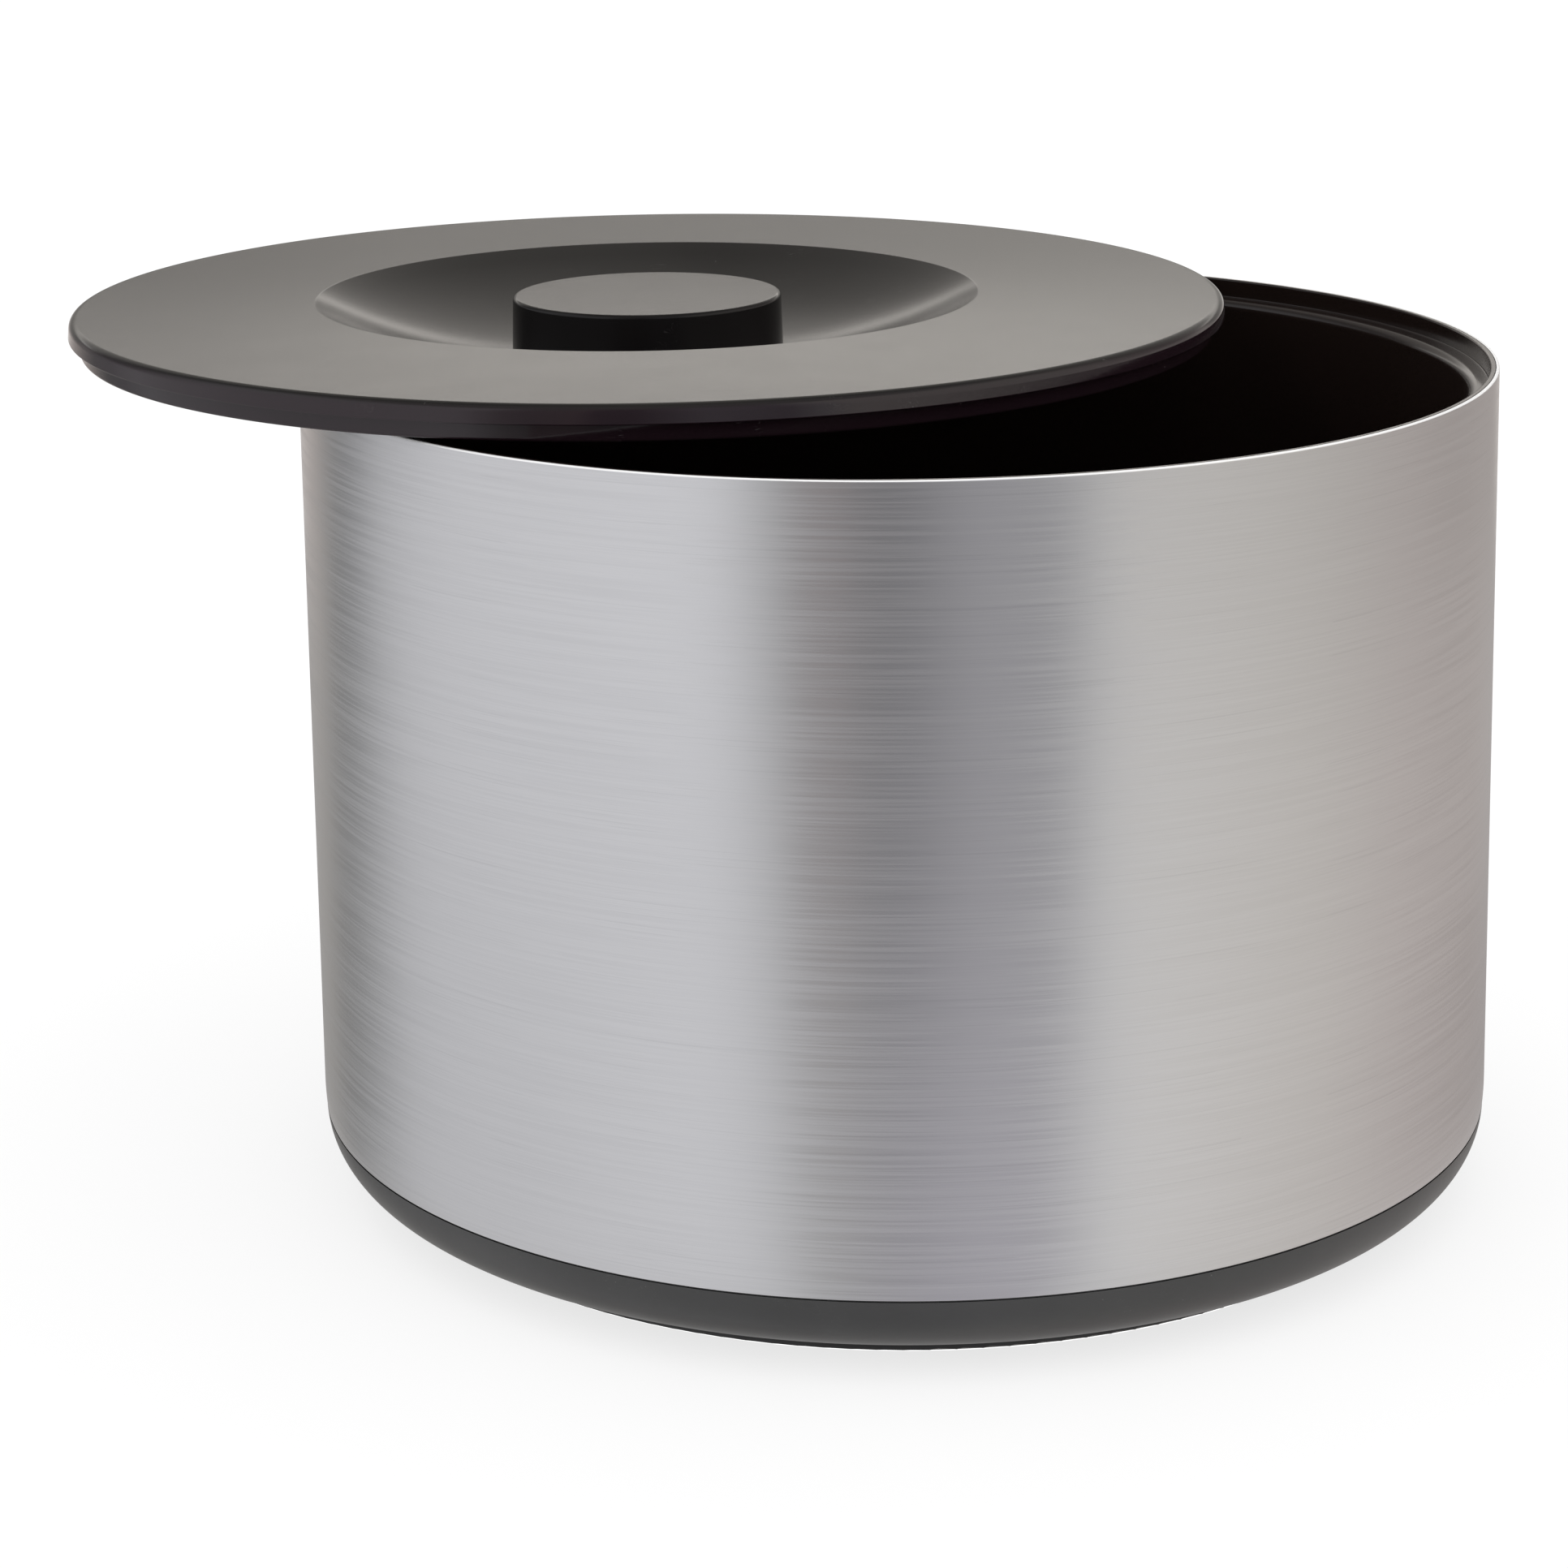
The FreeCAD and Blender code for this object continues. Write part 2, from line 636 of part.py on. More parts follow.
def make_wall_insulation():
    """Foam between the liner and the sleeve."""
    low = size.foam_low
    high = size.foam_top
    outside = sleeve_in - size.foam_gap
    return turned(
        "wall_insulation",
        [
            (liner_outside(low) + size.foam_gap, low),
            (sleeve_in - roll - size.foam_low_gap, low),
            (outside, roll_top + size.foam_full_rise),
            (outside, high),
            (liner_outside(high) + size.foam_gap, high),
        ],
    )


def make_floor_insulation():
    """Foam disc below the liner's floor, with holes for the bosses."""
    low = size.foam_disc_low
    high = size.foam_disc_top
    radius = size.foam_disc_rad
    body = turned(
        "floor_insulation",
        [
            (0, low),
            (radius, low),
            (radius, high - size.foam_disc_bevel),
            (radius - size.foam_disc_bevel, high),
            (0, high),
        ],
    )
    hole_rad = size.boss_rad + size.foam_gap
    sketch = tie_circle(body, "floor_foam_circle", low - size.cut_over, hole_rad)
    hole = cut_up(body, "floor_foam_hole", sketch, high - low + 2 * size.cut_over)
    around(body, "floor_foam_holes", [hole], size.tie_count)
    return body


# ---------------------------------------------------------------- lid
# Dish and underside bowl are concentric: a flat floor, an arc about bowl_centre_z,
# and on the dish a straight slope out to the edge.
top = size.lid_top_z
skin = size.lid_skin
dish_floor = top - size.dish_depth
flat = size.dish_flat_rad
bowl_centre_z = dish_floor + size.dish_curve
bowl_in = size.dish_curve + skin + size.under_gap
bowl_out = bowl_in + size.under_bowl_wall
bowl_low = bowl_centre_z - bowl_out

crease_z = top + size.lid_crown
skin_under_z = crease_z - skin
seam_z = top - size.lid_band
band_in = size.lid_rad - size.lid_band_wall
plug_z = top - size.plug_low
plate_z = plug_z + size.under_skin


def bowl_end(r):
    """Where a bowl surface of radius r leaves its arc: (radius, height)."""
    return (
        flat + r * trig("sin", size.dish_angle),
        bowl_centre_z - r * trig("cos", size.dish_angle),
    )


def bowl_line(r, z):
    """Radius of that surface's straight part at height z."""
    end_radius, end_z = bowl_end(r)
    return end_radius + (z - end_z) / trig("tan", size.dish_angle)


def bowl_arc(r, z):
    """Radius of that surface's arc at height z."""
    return flat + root(r * r - (bowl_centre_z - z) * (bowl_centre_z - z))


def make_lid_top():
    """Gently crowned ring, edge band and dish, with a raised hub in the middle of
    the dish that the knob is screwed to."""
    curve = size.dish_curve
    curve_under = curve + skin
    crease_rad = bowl_line(curve, crease_z)
    edge_rad = size.lid_rad - size.lid_draft
    hub_top = dish_floor + size.hub_rise
    body = turned(
        "lid_top",
        [
            (size.hub_bore_rad, hub_top),
            (size.hub_rad, hub_top),
            (size.hub_rad, dish_floor),
            (flat, dish_floor, curve, ANTICLOCKWISE),
            bowl_end(curve),
            (crease_rad, crease_z),
            (edge_rad, top),
            (size.lid_rad, seam_z),
            (band_in, seam_z),
            (band_in - size.lid_band_draft, top - skin - size.lid_skin_drop),
            (bowl_line(curve_under, skin_under_z), skin_under_z),
            (*bowl_end(curve_under), curve_under, CLOCKWISE),
            (flat, dish_floor - skin),
            (size.hub_hole_rad, dish_floor - skin),
            (size.hub_hole_rad, hub_top - skin),
            (size.hub_bore_rad, hub_top - skin),
        ],
    )
    round_rings(body, "dish_edge_round", size.dish_edge_round, [(crease_rad, crease_z)])
    round_rings(body, "lid_edge_round", size.lid_edge_round, [(edge_rad, top)])
    return body


def make_lid_underside():
    """Lip that drops into the rim's recess, shallow flat plug that enters the mouth,
    and a bowl that follows the dish."""
    lip_z = top - size.lip_low
    lip_floor = lip_z + size.under_skin
    lip_top = seam_z - size.seam_gap
    plug_in = size.plug_rad - size.plug_wall
    upstand_out = band_in - size.upstand_gap
    upstand_in = upstand_out - size.under_skin
    upstand_top = top - skin - size.upstand_gap
    body = turned(
        "lid_underside",
        [
            (size.access_rad, bowl_centre_z - bowl_in),
            (flat, bowl_centre_z - bowl_in, bowl_in, ANTICLOCKWISE),
            (bowl_arc(bowl_in, plate_z), plate_z),
            (plug_in, plate_z),
            (plug_in, lip_floor),
            (upstand_in, lip_floor),
            (upstand_in, upstand_top),
            (upstand_out, upstand_top),
            (upstand_out, lip_top),
            (size.lip_rad, lip_top),
            (size.lip_rad, lip_z),
            (size.plug_rad, lip_z),
            (size.plug_rad, plug_z),
            (bowl_arc(bowl_out, plug_z), plug_z, bowl_out, CLOCKWISE),
            (flat, bowl_low),
            (size.access_rad, bowl_low),
        ],
    )
    rings = [(size.lip_rad, lip_z), (size.plug_rad, plug_z)]
    round_rings(body, "underside_rounds", size.under_round, rings)
    return body


def make_lid_insulation():
    """Foam ring between the two lid shells."""
    foam_low = plate_z + size.foam_gap
    return turned(
        "lid_insulation",
        [
            (size.lid_foam_in, foam_low),
            (size.lid_foam_out, foam_low),
            (size.lid_foam_out, top - skin - size.lid_foam_drop),
            (size.lid_foam_in, skin_under_z - size.foam_gap),
        ],
    )


# ---------------------------------------------------------------- knob
# Heights of the stack on the screw's axis.
fit = size.fit_gap
seal_low = dish_floor + size.hub_rise + fit
seal_top = seal_low + size.seal_thick
boss_end = seal_top + fit
insert_low = boss_end + size.insert_sink
insert_top = insert_low + size.insert_long
washer_top = dish_floor + size.hub_rise - skin - fit
washer_low = washer_top - size.washer_thick


def make_knob():
    """Hollow knob with a boss in the middle and ribs from the boss to the wall."""
    insert_hole = size.insert_rad + fit
    hole_top = insert_top + size.insert_end_gap
    knob_top = top + size.knob_rise
    knob_low = dish_floor + size.knob_stand
    cavity_top = knob_top - size.knob_top_wall
    cavity_rad = size.knob_rad - size.knob_wall
    body = turned(
        "knob",
        [
            (insert_hole, boss_end),
            (size.knob_boss_rad, boss_end),
            (size.knob_boss_rad, cavity_top),
            (cavity_rad, cavity_top),
            (size.knob_foot_rad - size.knob_wall, knob_low),
            (size.knob_foot_rad, knob_low),
            (size.knob_rad, knob_top),
            (0, knob_top),
            (0, hole_top),
            (insert_hole, hole_top),
        ],
    )
    round_rings(body, "knob_edge_round", size.knob_round, [(size.knob_rad, knob_top)])
    rib_low = boss_end + size.knob_rib_rise
    half = size.knob_rib / 2
    start = size.knob_boss_rad - size.knob_rib_lap
    end = cavity_rad + size.knob_rib_wall_lap
    sketch = new_sketch(body, "knob_rib_outline", "XY_Plane", rib_low)
    closed_profile(sketch, [(start, -half), (end, -half), (end, half), (start, half)])
    rib = pad_up(body, "knob_rib", sketch, cavity_top - rib_low + size.knob_rib_lap)
    around(body, "knob_ribs", [rib], size.knob_rib_count)
    return body


def make_knob_insert():
    """Brass insert pressed into the knob's boss."""
    bore = size.bolt_rad + size.insert_bore_gap
    return turned(
        "knob_insert",
        [
            (bore, insert_low),
            (size.insert_rad - size.insert_bevel_wide, insert_low),
            (size.insert_rad, insert_low + size.insert_bevel_tall),
            (size.insert_rad, insert_top),
            (bore, insert_top),
        ],
    )


def flat_ring(label, inside, outside, low, high):
    return turned(label, [(inside, low), (outside, low), (outside, high), (inside, high)])


def make_knob_seal():
    """Rubber ring that keeps meltwater in the dish out of the screw hole."""
    bore = size.hub_bore_rad + size.seal_bore_gap
    return flat_ring("knob_seal", bore, size.seal_rad, seal_low, seal_top)


def make_knob_washer():
    """Washer between the hub's underside and the screw's head."""
    bore = size.bolt_rad + size.washer_bore_gap
    return flat_ring("knob_washer", bore, size.washer_rad, washer_low, washer_top)


def make_knob_screw():
    """Screw that holds the knob from below, with a round socket in its head."""
    head_top = washer_low - fit
    head_low = head_top - size.bolt_head_thick
    socket_top = head_low + size.bolt_socket_deep
    tip = head_top + size.bolt_long
    return turned(
        "knob_screw",
        [
            (0, socket_top),
            (size.bolt_socket_rad, socket_top),
            (size.bolt_socket_rad, head_low),
            (size.bolt_head_rad - size.bolt_bevel_wide, head_low),
            (size.bolt_head_rad, head_low + size.bolt_bevel_tall),
            (size.bolt_head_rad, head_top),
            (size.bolt_rad, head_top),
            (size.bolt_rad, tip - size.bolt_tip_bevel),
            (size.bolt_rad - size.bolt_tip_bevel, tip),
            (0, tip),
        ],
    )


def make_lid_screw_cap():
    """Cap that closes the access hole in the underside shell."""
    low = bowl_low + size.cap_gap
    radius = size.access_rad - size.cap_gap
    inside = radius - size.cap_wall
    return turned(
        "lid_screw_cap",
        [
            (0, low),
            (radius, low),
            (radius, low + size.cap_skirt),
            (inside, low + size.cap_skirt),
            (inside, low + size.cap_thick),
            (0, low + size.cap_thick),
        ],
    )


# ---------------------------------------------------------------- assembly
bucket_parts = [
    make_outer_sleeve(),
    make_inner_liner(),
    make_base_shell(),
    make_base_plate(),
    make_base_screws(),
    make_wall_insulation(),
    make_floor_insulation(),
]
lid_parts = [
    make_lid_top(),
    make_lid_underside(),
    make_lid_insulation(),
    make_knob(),
    make_knob_insert(),
    make_knob_seal(),
    make_knob_washer(),
    make_knob_screw(),
    make_lid_screw_cap(),
]
parts = bucket_parts + lid_parts

# The lid's pieces share one frame, parked on the rim: the plug's flat underside
# stands on the rim, and the bowl hangs inside the mouth.
lid_lift = rim + size.lid_rest_gap - plug_z
for body in lid_parts:
    drive(body, "Placement.Base.x", size.lid_x)
    drive(body, "Placement.Base.y", size.lid_y)
    drive(body, "Placement.Base.z", lid_lift)
doc.recompute()

# ---------------------------------------------------------------- checks, export
bad = [
    o.Name
    for o in doc.Objects
    if "Invalid" in o.State or "Error" in o.State or not o.isValid()
]
if bad:
    raise RuntimeError("failed objects: %s" % bad)
solid_counts = {"base_screws": int(number(size.tie_count))}
for body in parts:
    shape = body.Shape
    if shape.isNull() or not shape.isValid():
        raise RuntimeError("%s has no valid shape" % body.Label)
    wanted = solid_counts.get(body.Label, 1)
    if len(shape.Solids) != wanted:
        raise RuntimeError(
            "%s has %d solids, not %d" % (body.Label, len(shape.Solids), wanted)
        )

os.makedirs("parts", exist_ok=True)
for body in parts:
    body.Shape.exportStep(os.path.join("parts", body.Label + ".step"))
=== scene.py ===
import math

import bpy
import numpy as np
from mathutils import Matrix, Vector


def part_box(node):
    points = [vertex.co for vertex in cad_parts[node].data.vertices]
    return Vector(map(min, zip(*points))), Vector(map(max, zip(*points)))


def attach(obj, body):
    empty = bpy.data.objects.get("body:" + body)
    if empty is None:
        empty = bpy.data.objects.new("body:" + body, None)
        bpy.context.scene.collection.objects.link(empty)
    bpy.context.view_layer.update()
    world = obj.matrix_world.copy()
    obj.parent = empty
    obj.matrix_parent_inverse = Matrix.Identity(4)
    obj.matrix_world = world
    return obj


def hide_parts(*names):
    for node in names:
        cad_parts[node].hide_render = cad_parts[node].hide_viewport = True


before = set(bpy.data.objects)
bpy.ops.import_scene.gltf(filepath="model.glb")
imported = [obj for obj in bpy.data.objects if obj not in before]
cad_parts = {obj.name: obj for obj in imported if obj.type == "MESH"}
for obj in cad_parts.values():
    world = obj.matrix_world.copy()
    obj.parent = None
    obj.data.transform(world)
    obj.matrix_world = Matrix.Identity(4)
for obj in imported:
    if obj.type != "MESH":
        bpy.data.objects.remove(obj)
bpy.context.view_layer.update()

MM = 0.001

# ------------------------------------------------------------------ profiles
# A profile is a closed outline in (radius, height), millimetres, that is turned
# about the vertical axis. Each corner may be rounded, and the stretch that
# follows a corner may be an arc.


def corner(r, z, f=0.0, arc=None):
    return {"p": np.array([r, z], float), "f": f, "arc": arc}


def _perp(v):
    return np.array([-v[1], v[0]])


def outline(corners, step=9.0, arc_deg=6.0):
    """Short stretches (p0, n0, p1, n1) with true normals that point out of the solid."""
    n = len(corners)
    edges = []
    for i in range(n):
        a, b = corners[i], corners[(i + 1) % n]
        if a["arc"]:
            rad, turn = a["arc"]
            d = b["p"] - a["p"]
            half = np.linalg.norm(d) / 2
            off = math.sqrt(max(rad * rad - half * half, 0)) * turn
            c = (a["p"] + b["p"]) / 2 + _perp(d) / (2 * half) * off
            edges.append(["A", a["p"].copy(), b["p"].copy(), c, rad, turn])
        else:
            edges.append(["L", a["p"].copy(), b["p"].copy()])
    fillets = {}
    for i in range(n):
        f = corners[i]["f"]
        if f <= 0:
            continue
        e0, e1 = edges[i - 1], edges[i]
        v = corners[i]["p"]
        d0 = e0[1] - v
        d1 = e1[2] - v
        l0, l1 = np.linalg.norm(d0), np.linalg.norm(d1)
        d0, d1 = d0 / l0, d1 / l1
        ang = math.acos(max(-1, min(1, float(d0 @ d1))))
        t = f / math.tan(ang / 2)
        p0, p1 = v + d0 * t, v + d1 * t
        bis = (d0 + d1) / np.linalg.norm(d0 + d1)
        c = v + bis * (f / math.sin(ang / 2))
        turn = 1 if (-d0[0] * d1[1] + d0[1] * d1[0]) > 0 else -1
        fillets[i] = ["A", p0, p1, c, f, turn]
        e0[2] = p0
        e1[1] = p1
    seq = []
    for i in range(n):
        if i in fillets:
            seq.append(fillets[i])
        seq.append(edges[i])
    pts = []
    for e in seq:
        pts.append(e[1])
    area = 0.0
    for i in range(len(pts)):
        a, b = pts[i], pts[(i + 1) % len(pts)]
        area += a[0] * b[1] - b[0] * a[1]
    out = 1 if area > 0 else -1  # 1: anticlockwise, solid on the left
    small = []
    for e in seq:
        if e[0] == "L":
            d = e[2] - e[1]
            length = np.linalg.norm(d)
            if length < 1e-6:
                continue
            nrm = -_perp(d / length) * out
            k = max(1, int(math.ceil(length / step)))
            for j in range(k):
                small.append(
                    (e[1] + d * j / k, nrm, e[1] + d * (j + 1) / k, nrm)
                )
        else:
            _, p0, p1, c, rad, turn = e
            a0 = math.atan2(*(p0 - c)[::-1])
            a1 = math.atan2(*(p1 - c)[::-1])
            if turn > 0 and a1 < a0:
                a1 += 2 * math.pi
            if turn < 0 and a1 > a0:
                a1 -= 2 * math.pi
            k = max(4, int(math.ceil(abs(math.degrees(a1 - a0)) / arc_deg)))
            sgn = turn * out
            last = None
            for j in range(k + 1):
                a = a0 + (a1 - a0) * j / k
                u = np.array([math.cos(a), math.sin(a)])
                q = (c + u * rad, u * sgn)
                if last is not None:
                    small.append((last[0], last[1], q[0], q[1]))
                last = q
    if out < 0:
        small = [(b, nb, a, na) for a, na, b, nb in reversed(small)]
    return small


def turned_arrays(small, seg):
    """Vertices, faces and corner normals of a turned solid."""
    ang = np.arange(seg) * 2 * math.pi / seg
    cs, sn = np.cos(ang), np.sin(ang)
    verts, faces, normals = [], [], []
    index = {}

    def ring(p):
        key = (round(float(p[0]), 5), round(float(p[1]), 5))
        if key not in index:
            start = len(verts)
            if abs(p[0]) < 1e-5:
                verts.append((0.0, 0.0, p[1] * MM))
                index[key] = (start, True)
            else:
                for j in range(seg):
                    verts.append((p[0] * cs[j] * MM, p[0] * sn[j] * MM, p[1] * MM))
                index[key] = (start, False)
        return index[key]

    def nv(n, j):
        return (n[0] * cs[j], n[0] * sn[j], n[1])

    for p0, n0, p1, n1 in small:
        if abs(p0[0]) < 1e-5 and abs(p1[0]) < 1e-5:
            continue
        if np.linalg.norm(p1 - p0) < 1e-6:
            continue
        a, ap = ring(p0)
        b, bp = ring(p1)
        for j in range(seg):
            k = (j + 1) % seg
            if ap:
                faces.append((a, b + k, b + j))
                normals += [nv(n0, j), nv(n1, k), nv(n1, j)]
            elif bp:
                faces.append((a + j, a + k, b))
                normals += [nv(n0, j), nv(n0, k), nv(n1, j)]
            else:
                faces.append((a + j, a + k, b + k, b + j))
                normals += [nv(n0, j), nv(n0, k), nv(n1, k), nv(n1, j)]
    return verts, faces, normals


def turned_piece(name, corners, material, body, at=(0, 0, 0), seg=288, step=9.0,
                 arc_deg=6.0, extra=None, stands_for=()):
    """One finished piece: turned outline, true normals, material, body."""
    verts, faces, normals = turned_arrays(outline(corners, step, arc_deg), seg)
    for ecorners, eseg, (ex, ey) in extra or []:
        v2, f2, n2 = turned_arrays(outline(ecorners, step, arc_deg), eseg)
        base = len(verts)
        verts += [(x + ex * MM, y + ey * MM, z) for x, y, z in v2]
        faces += [tuple(i + base for i in f) for f in f2]
        normals += n2
    mesh = bpy.data.meshes.new(name)
    mesh.from_pydata(verts, [], faces)
    mesh.polygons.foreach_set("use_smooth", [True] * len(mesh.polygons))
    mesh.update()
    mesh.normals_split_custom_set(normals)
    mesh.materials.append(material)
    obj = bpy.data.objects.new(name, mesh)
    bpy.context.scene.collection.objects.link(obj)
    obj.location = Vector(at) * MM
    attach(obj, body)
    if stands_for:
        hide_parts(*stands_for)
    return obj


# ------------------------------------------------------------------ node helpers
class Graph:
    def __init__(self, tree):
        self.t = tree
        self.t.nodes.clear()

    def node(self, kind, **props):
        n = self.t.nodes.new(kind)
        for k, v in props.items():
            setattr(n, k, v)
        return n

    def put(self, socket, value):
        if isinstance(value, bpy.types.NodeSocket):
            self.t.links.new(value, socket)
        elif value is not None:
            socket.default_value = value

    def math(self, op, a, b=None, c=None, clamp=False):
        n = self.node("ShaderNodeMath", operation=op, use_clamp=clamp)
        self.put(n.inputs[0], a)
        if b is not None:
            self.put(n.inputs[1], b)
        if c is not None:
            self.put(n.inputs[2], c)
        return n.outputs[0]

    def scale(self, vec, x, y, z):
        n = self.node("ShaderNodeVectorMath", operation="MULTIPLY")
        self.put(n.inputs[0], vec)
        n.inputs[1].default_value = (x, y, z)
        return n.outputs[0]

    def noise(self, vec, scale, detail=2.0, rough=0.5, distort=0.0):
        n = self.node("ShaderNodeTexNoise")
        self.put(n.inputs["Vector"], vec)
        n.inputs["Scale"].default_value = scale
        n.inputs["Detail"].default_value = detail
        n.inputs["Roughness"].default_value = rough
        n.inputs["Distortion"].default_value = distort
        return n.outputs["Fac"]

    def voronoi(self, vec, scale, feature="F1", out="Distance", rand=1.0):
        n = self.node("ShaderNodeTexVoronoi", feature=feature)
        self.put(n.inputs["Vector"], vec)
        n.inputs["Scale"].default_value = scale
        n.inputs["Randomness"].default_value = rand
        return n.outputs[out]

    def ramp(self, fac, stops, interp="LINEAR"):
        n = self.node("ShaderNodeValToRGB")
        n.color_ramp.interpolation = interp
        self.put(n.inputs[0], fac)
        els = n.color_ramp.elements
        while len(els) > 1:
            els.remove(els[-1])
        for i, (pos, col) in enumerate(stops):
            if not isinstance(col, (tuple, list)):
                col = (col, col, col)
            e = els[0] if i == 0 else els.new(pos)
            e.position = pos
            e.color = (col[0], col[1], col[2], 1.0)
        return n.outputs["Color"]

    def span(self, v, a, b, lo=0.0, hi=1.0, smooth=False):
        n = self.node(
            "ShaderNodeMapRange",
            interpolation_type="SMOOTHSTEP" if smooth else "LINEAR",
        )
        self.put(n.inputs[0], v)
        n.inputs[1].default_value = a
        n.inputs[2].default_value = b
        n.inputs[3].default_value = lo
        n.inputs[4].default_value = hi
        return n.outputs[0]

    def blend(self, fac, a, b):
        n = self.node("ShaderNodeMix", data_type="FLOAT")
        self.put(n.inputs[0], fac)
        self.put(n.inputs[2], a)
        self.put(n.inputs[3], b)
        return n.outputs[0]

    def mix(self, fac, a, b, blend="MIX"):
        n = self.node("ShaderNodeMix", data_type="RGBA", blend_type=blend)
        self.put(n.inputs[0], fac)
        self.put(n.inputs[6], a if isinstance(a, bpy.types.NodeSocket) else (*a, 1.0))
        self.put(n.inputs[7], b if isinstance(b, bpy.types.NodeSocket) else (*b, 1.0))
        return n.outputs[2]

    def bump(self, height, strength, distance, normal=None):
        n = self.node("ShaderNodeBump")
        n.inputs["Strength"].default_value = strength
        n.inputs["Distance"].default_value = distance
        self.put(n.inputs["Height"], height)
        if normal is not None:
            self.put(n.inputs["Normal"], normal)
        return n.outputs["Normal"]


def new_material(name):
    m = bpy.data.materials.new(name)
    m.use_nodes = True
    g = Graph(m.node_tree)
    out = g.node("ShaderNodeOutputMaterial")
    b = g.node("ShaderNodeBsdfPrincipled")
    g.t.links.new(b.outputs[0], out.inputs["Surface"])
    coord = g.node("ShaderNodeTexCoord").outputs["Object"]
    return m, g, b, coord


def moulded_plastic(name, color, rough, peel=0.05, grain=0.03, dust=0.0, spec=0.5,
                    tint=0.15, rough_var=0.05, grain_scale=5200.0, ior=1.5, side_rough=None,
                    painted_side_sheen=None):
    """Injection-moulded plastic: slight waviness, fine grain, flow variation, specks."""
    m, g, b, co = new_material(name)
    flow = g.noise(co, 14.0, 3.0, 0.55, 0.4)
    cloud = g.noise(co, 55.0, 4.0, 0.6)
    fine = g.noise(co, grain_scale, 2.0, 0.6)
    wave = g.noise(co, 420.0, 2.0, 0.5)
    dark = tuple(c * (1 - tint) for c in color)
    light = tuple(c * (1 + tint) for c in color)
    base = g.mix(g.span(flow, 0.3, 0.7), dark, light)
    level = rough
    if side_rough is not None:
        # flat faces carry a fine satin, upright faces are polished
        geo = g.node("ShaderNodeNewGeometry")
        sep = g.node("ShaderNodeSeparateXYZ")
        g.put(sep.inputs[0], geo.outputs["Normal"])
        level = g.span(sep.outputs[2], 0.35, 0.85, side_rough, rough, True)
        fine = g.math("MULTIPLY", fine, g.span(sep.outputs[2], 0.35, 0.85, 0.35, 1.0))
        # painted sheen: upright faces take a lighter purplish colour that stands in for their reflection
        if painted_side_sheen is not None:
            base = g.mix(g.span(sep.outputs[2], 0.35, 0.85, 1.0, 0.0), base, painted_side_sheen)
    rr = g.math("MULTIPLY_ADD", g.math("SUBTRACT", cloud, 0.5), rough_var * 2, level)
    rr = g.math("MULTIPLY_ADD", g.math("SUBTRACT", fine, 0.5), rough_var, rr)
    if dust > 0:
        cell = g.voronoi(co, 310.0)
        pick = g.noise(co, 90.0, 1.0, 0.5)
        speck = g.math(
            "MULTIPLY",
            g.math("LESS_THAN", cell, 0.045),
            g.math("GREATER_THAN", pick, 0.60),
        )
        hair_co = g.scale(co, 90.0, 900.0, 400.0)
        hair = g.noise(hair_co, 1.0, 1.0, 0.5, 1.5)
        line = g.math("LESS_THAN", g.math("ABSOLUTE", g.math("SUBTRACT", hair, 0.5)), 0.0025)
        line = g.math("MULTIPLY", line, g.math("GREATER_THAN", pick, 0.63))
        mark = g.math("MAXIMUM", speck, g.math("MULTIPLY", line, 0.5))
        mark = g.math("MULTIPLY", mark, dust, clamp=True)
        base = g.mix(mark, base, (0.34, 0.33, 0.32))
        rr = g.math("MULTIPLY_ADD", mark, 0.35, rr)
    rr = g.math("ADD", rr, 0.0, clamp=True)
    nrm = g.bump(wave, peel, 0.00025)
    nrm = g.bump(fine, grain, 0.00006, nrm)
    g.put(b.inputs["Base Color"], base)
    g.put(b.inputs["Roughness"], rr)
    g.put(b.inputs["Normal"], nrm)
    b.inputs["IOR"].default_value = ior
    b.inputs["Specular IOR Level"].default_value = spec
    return m


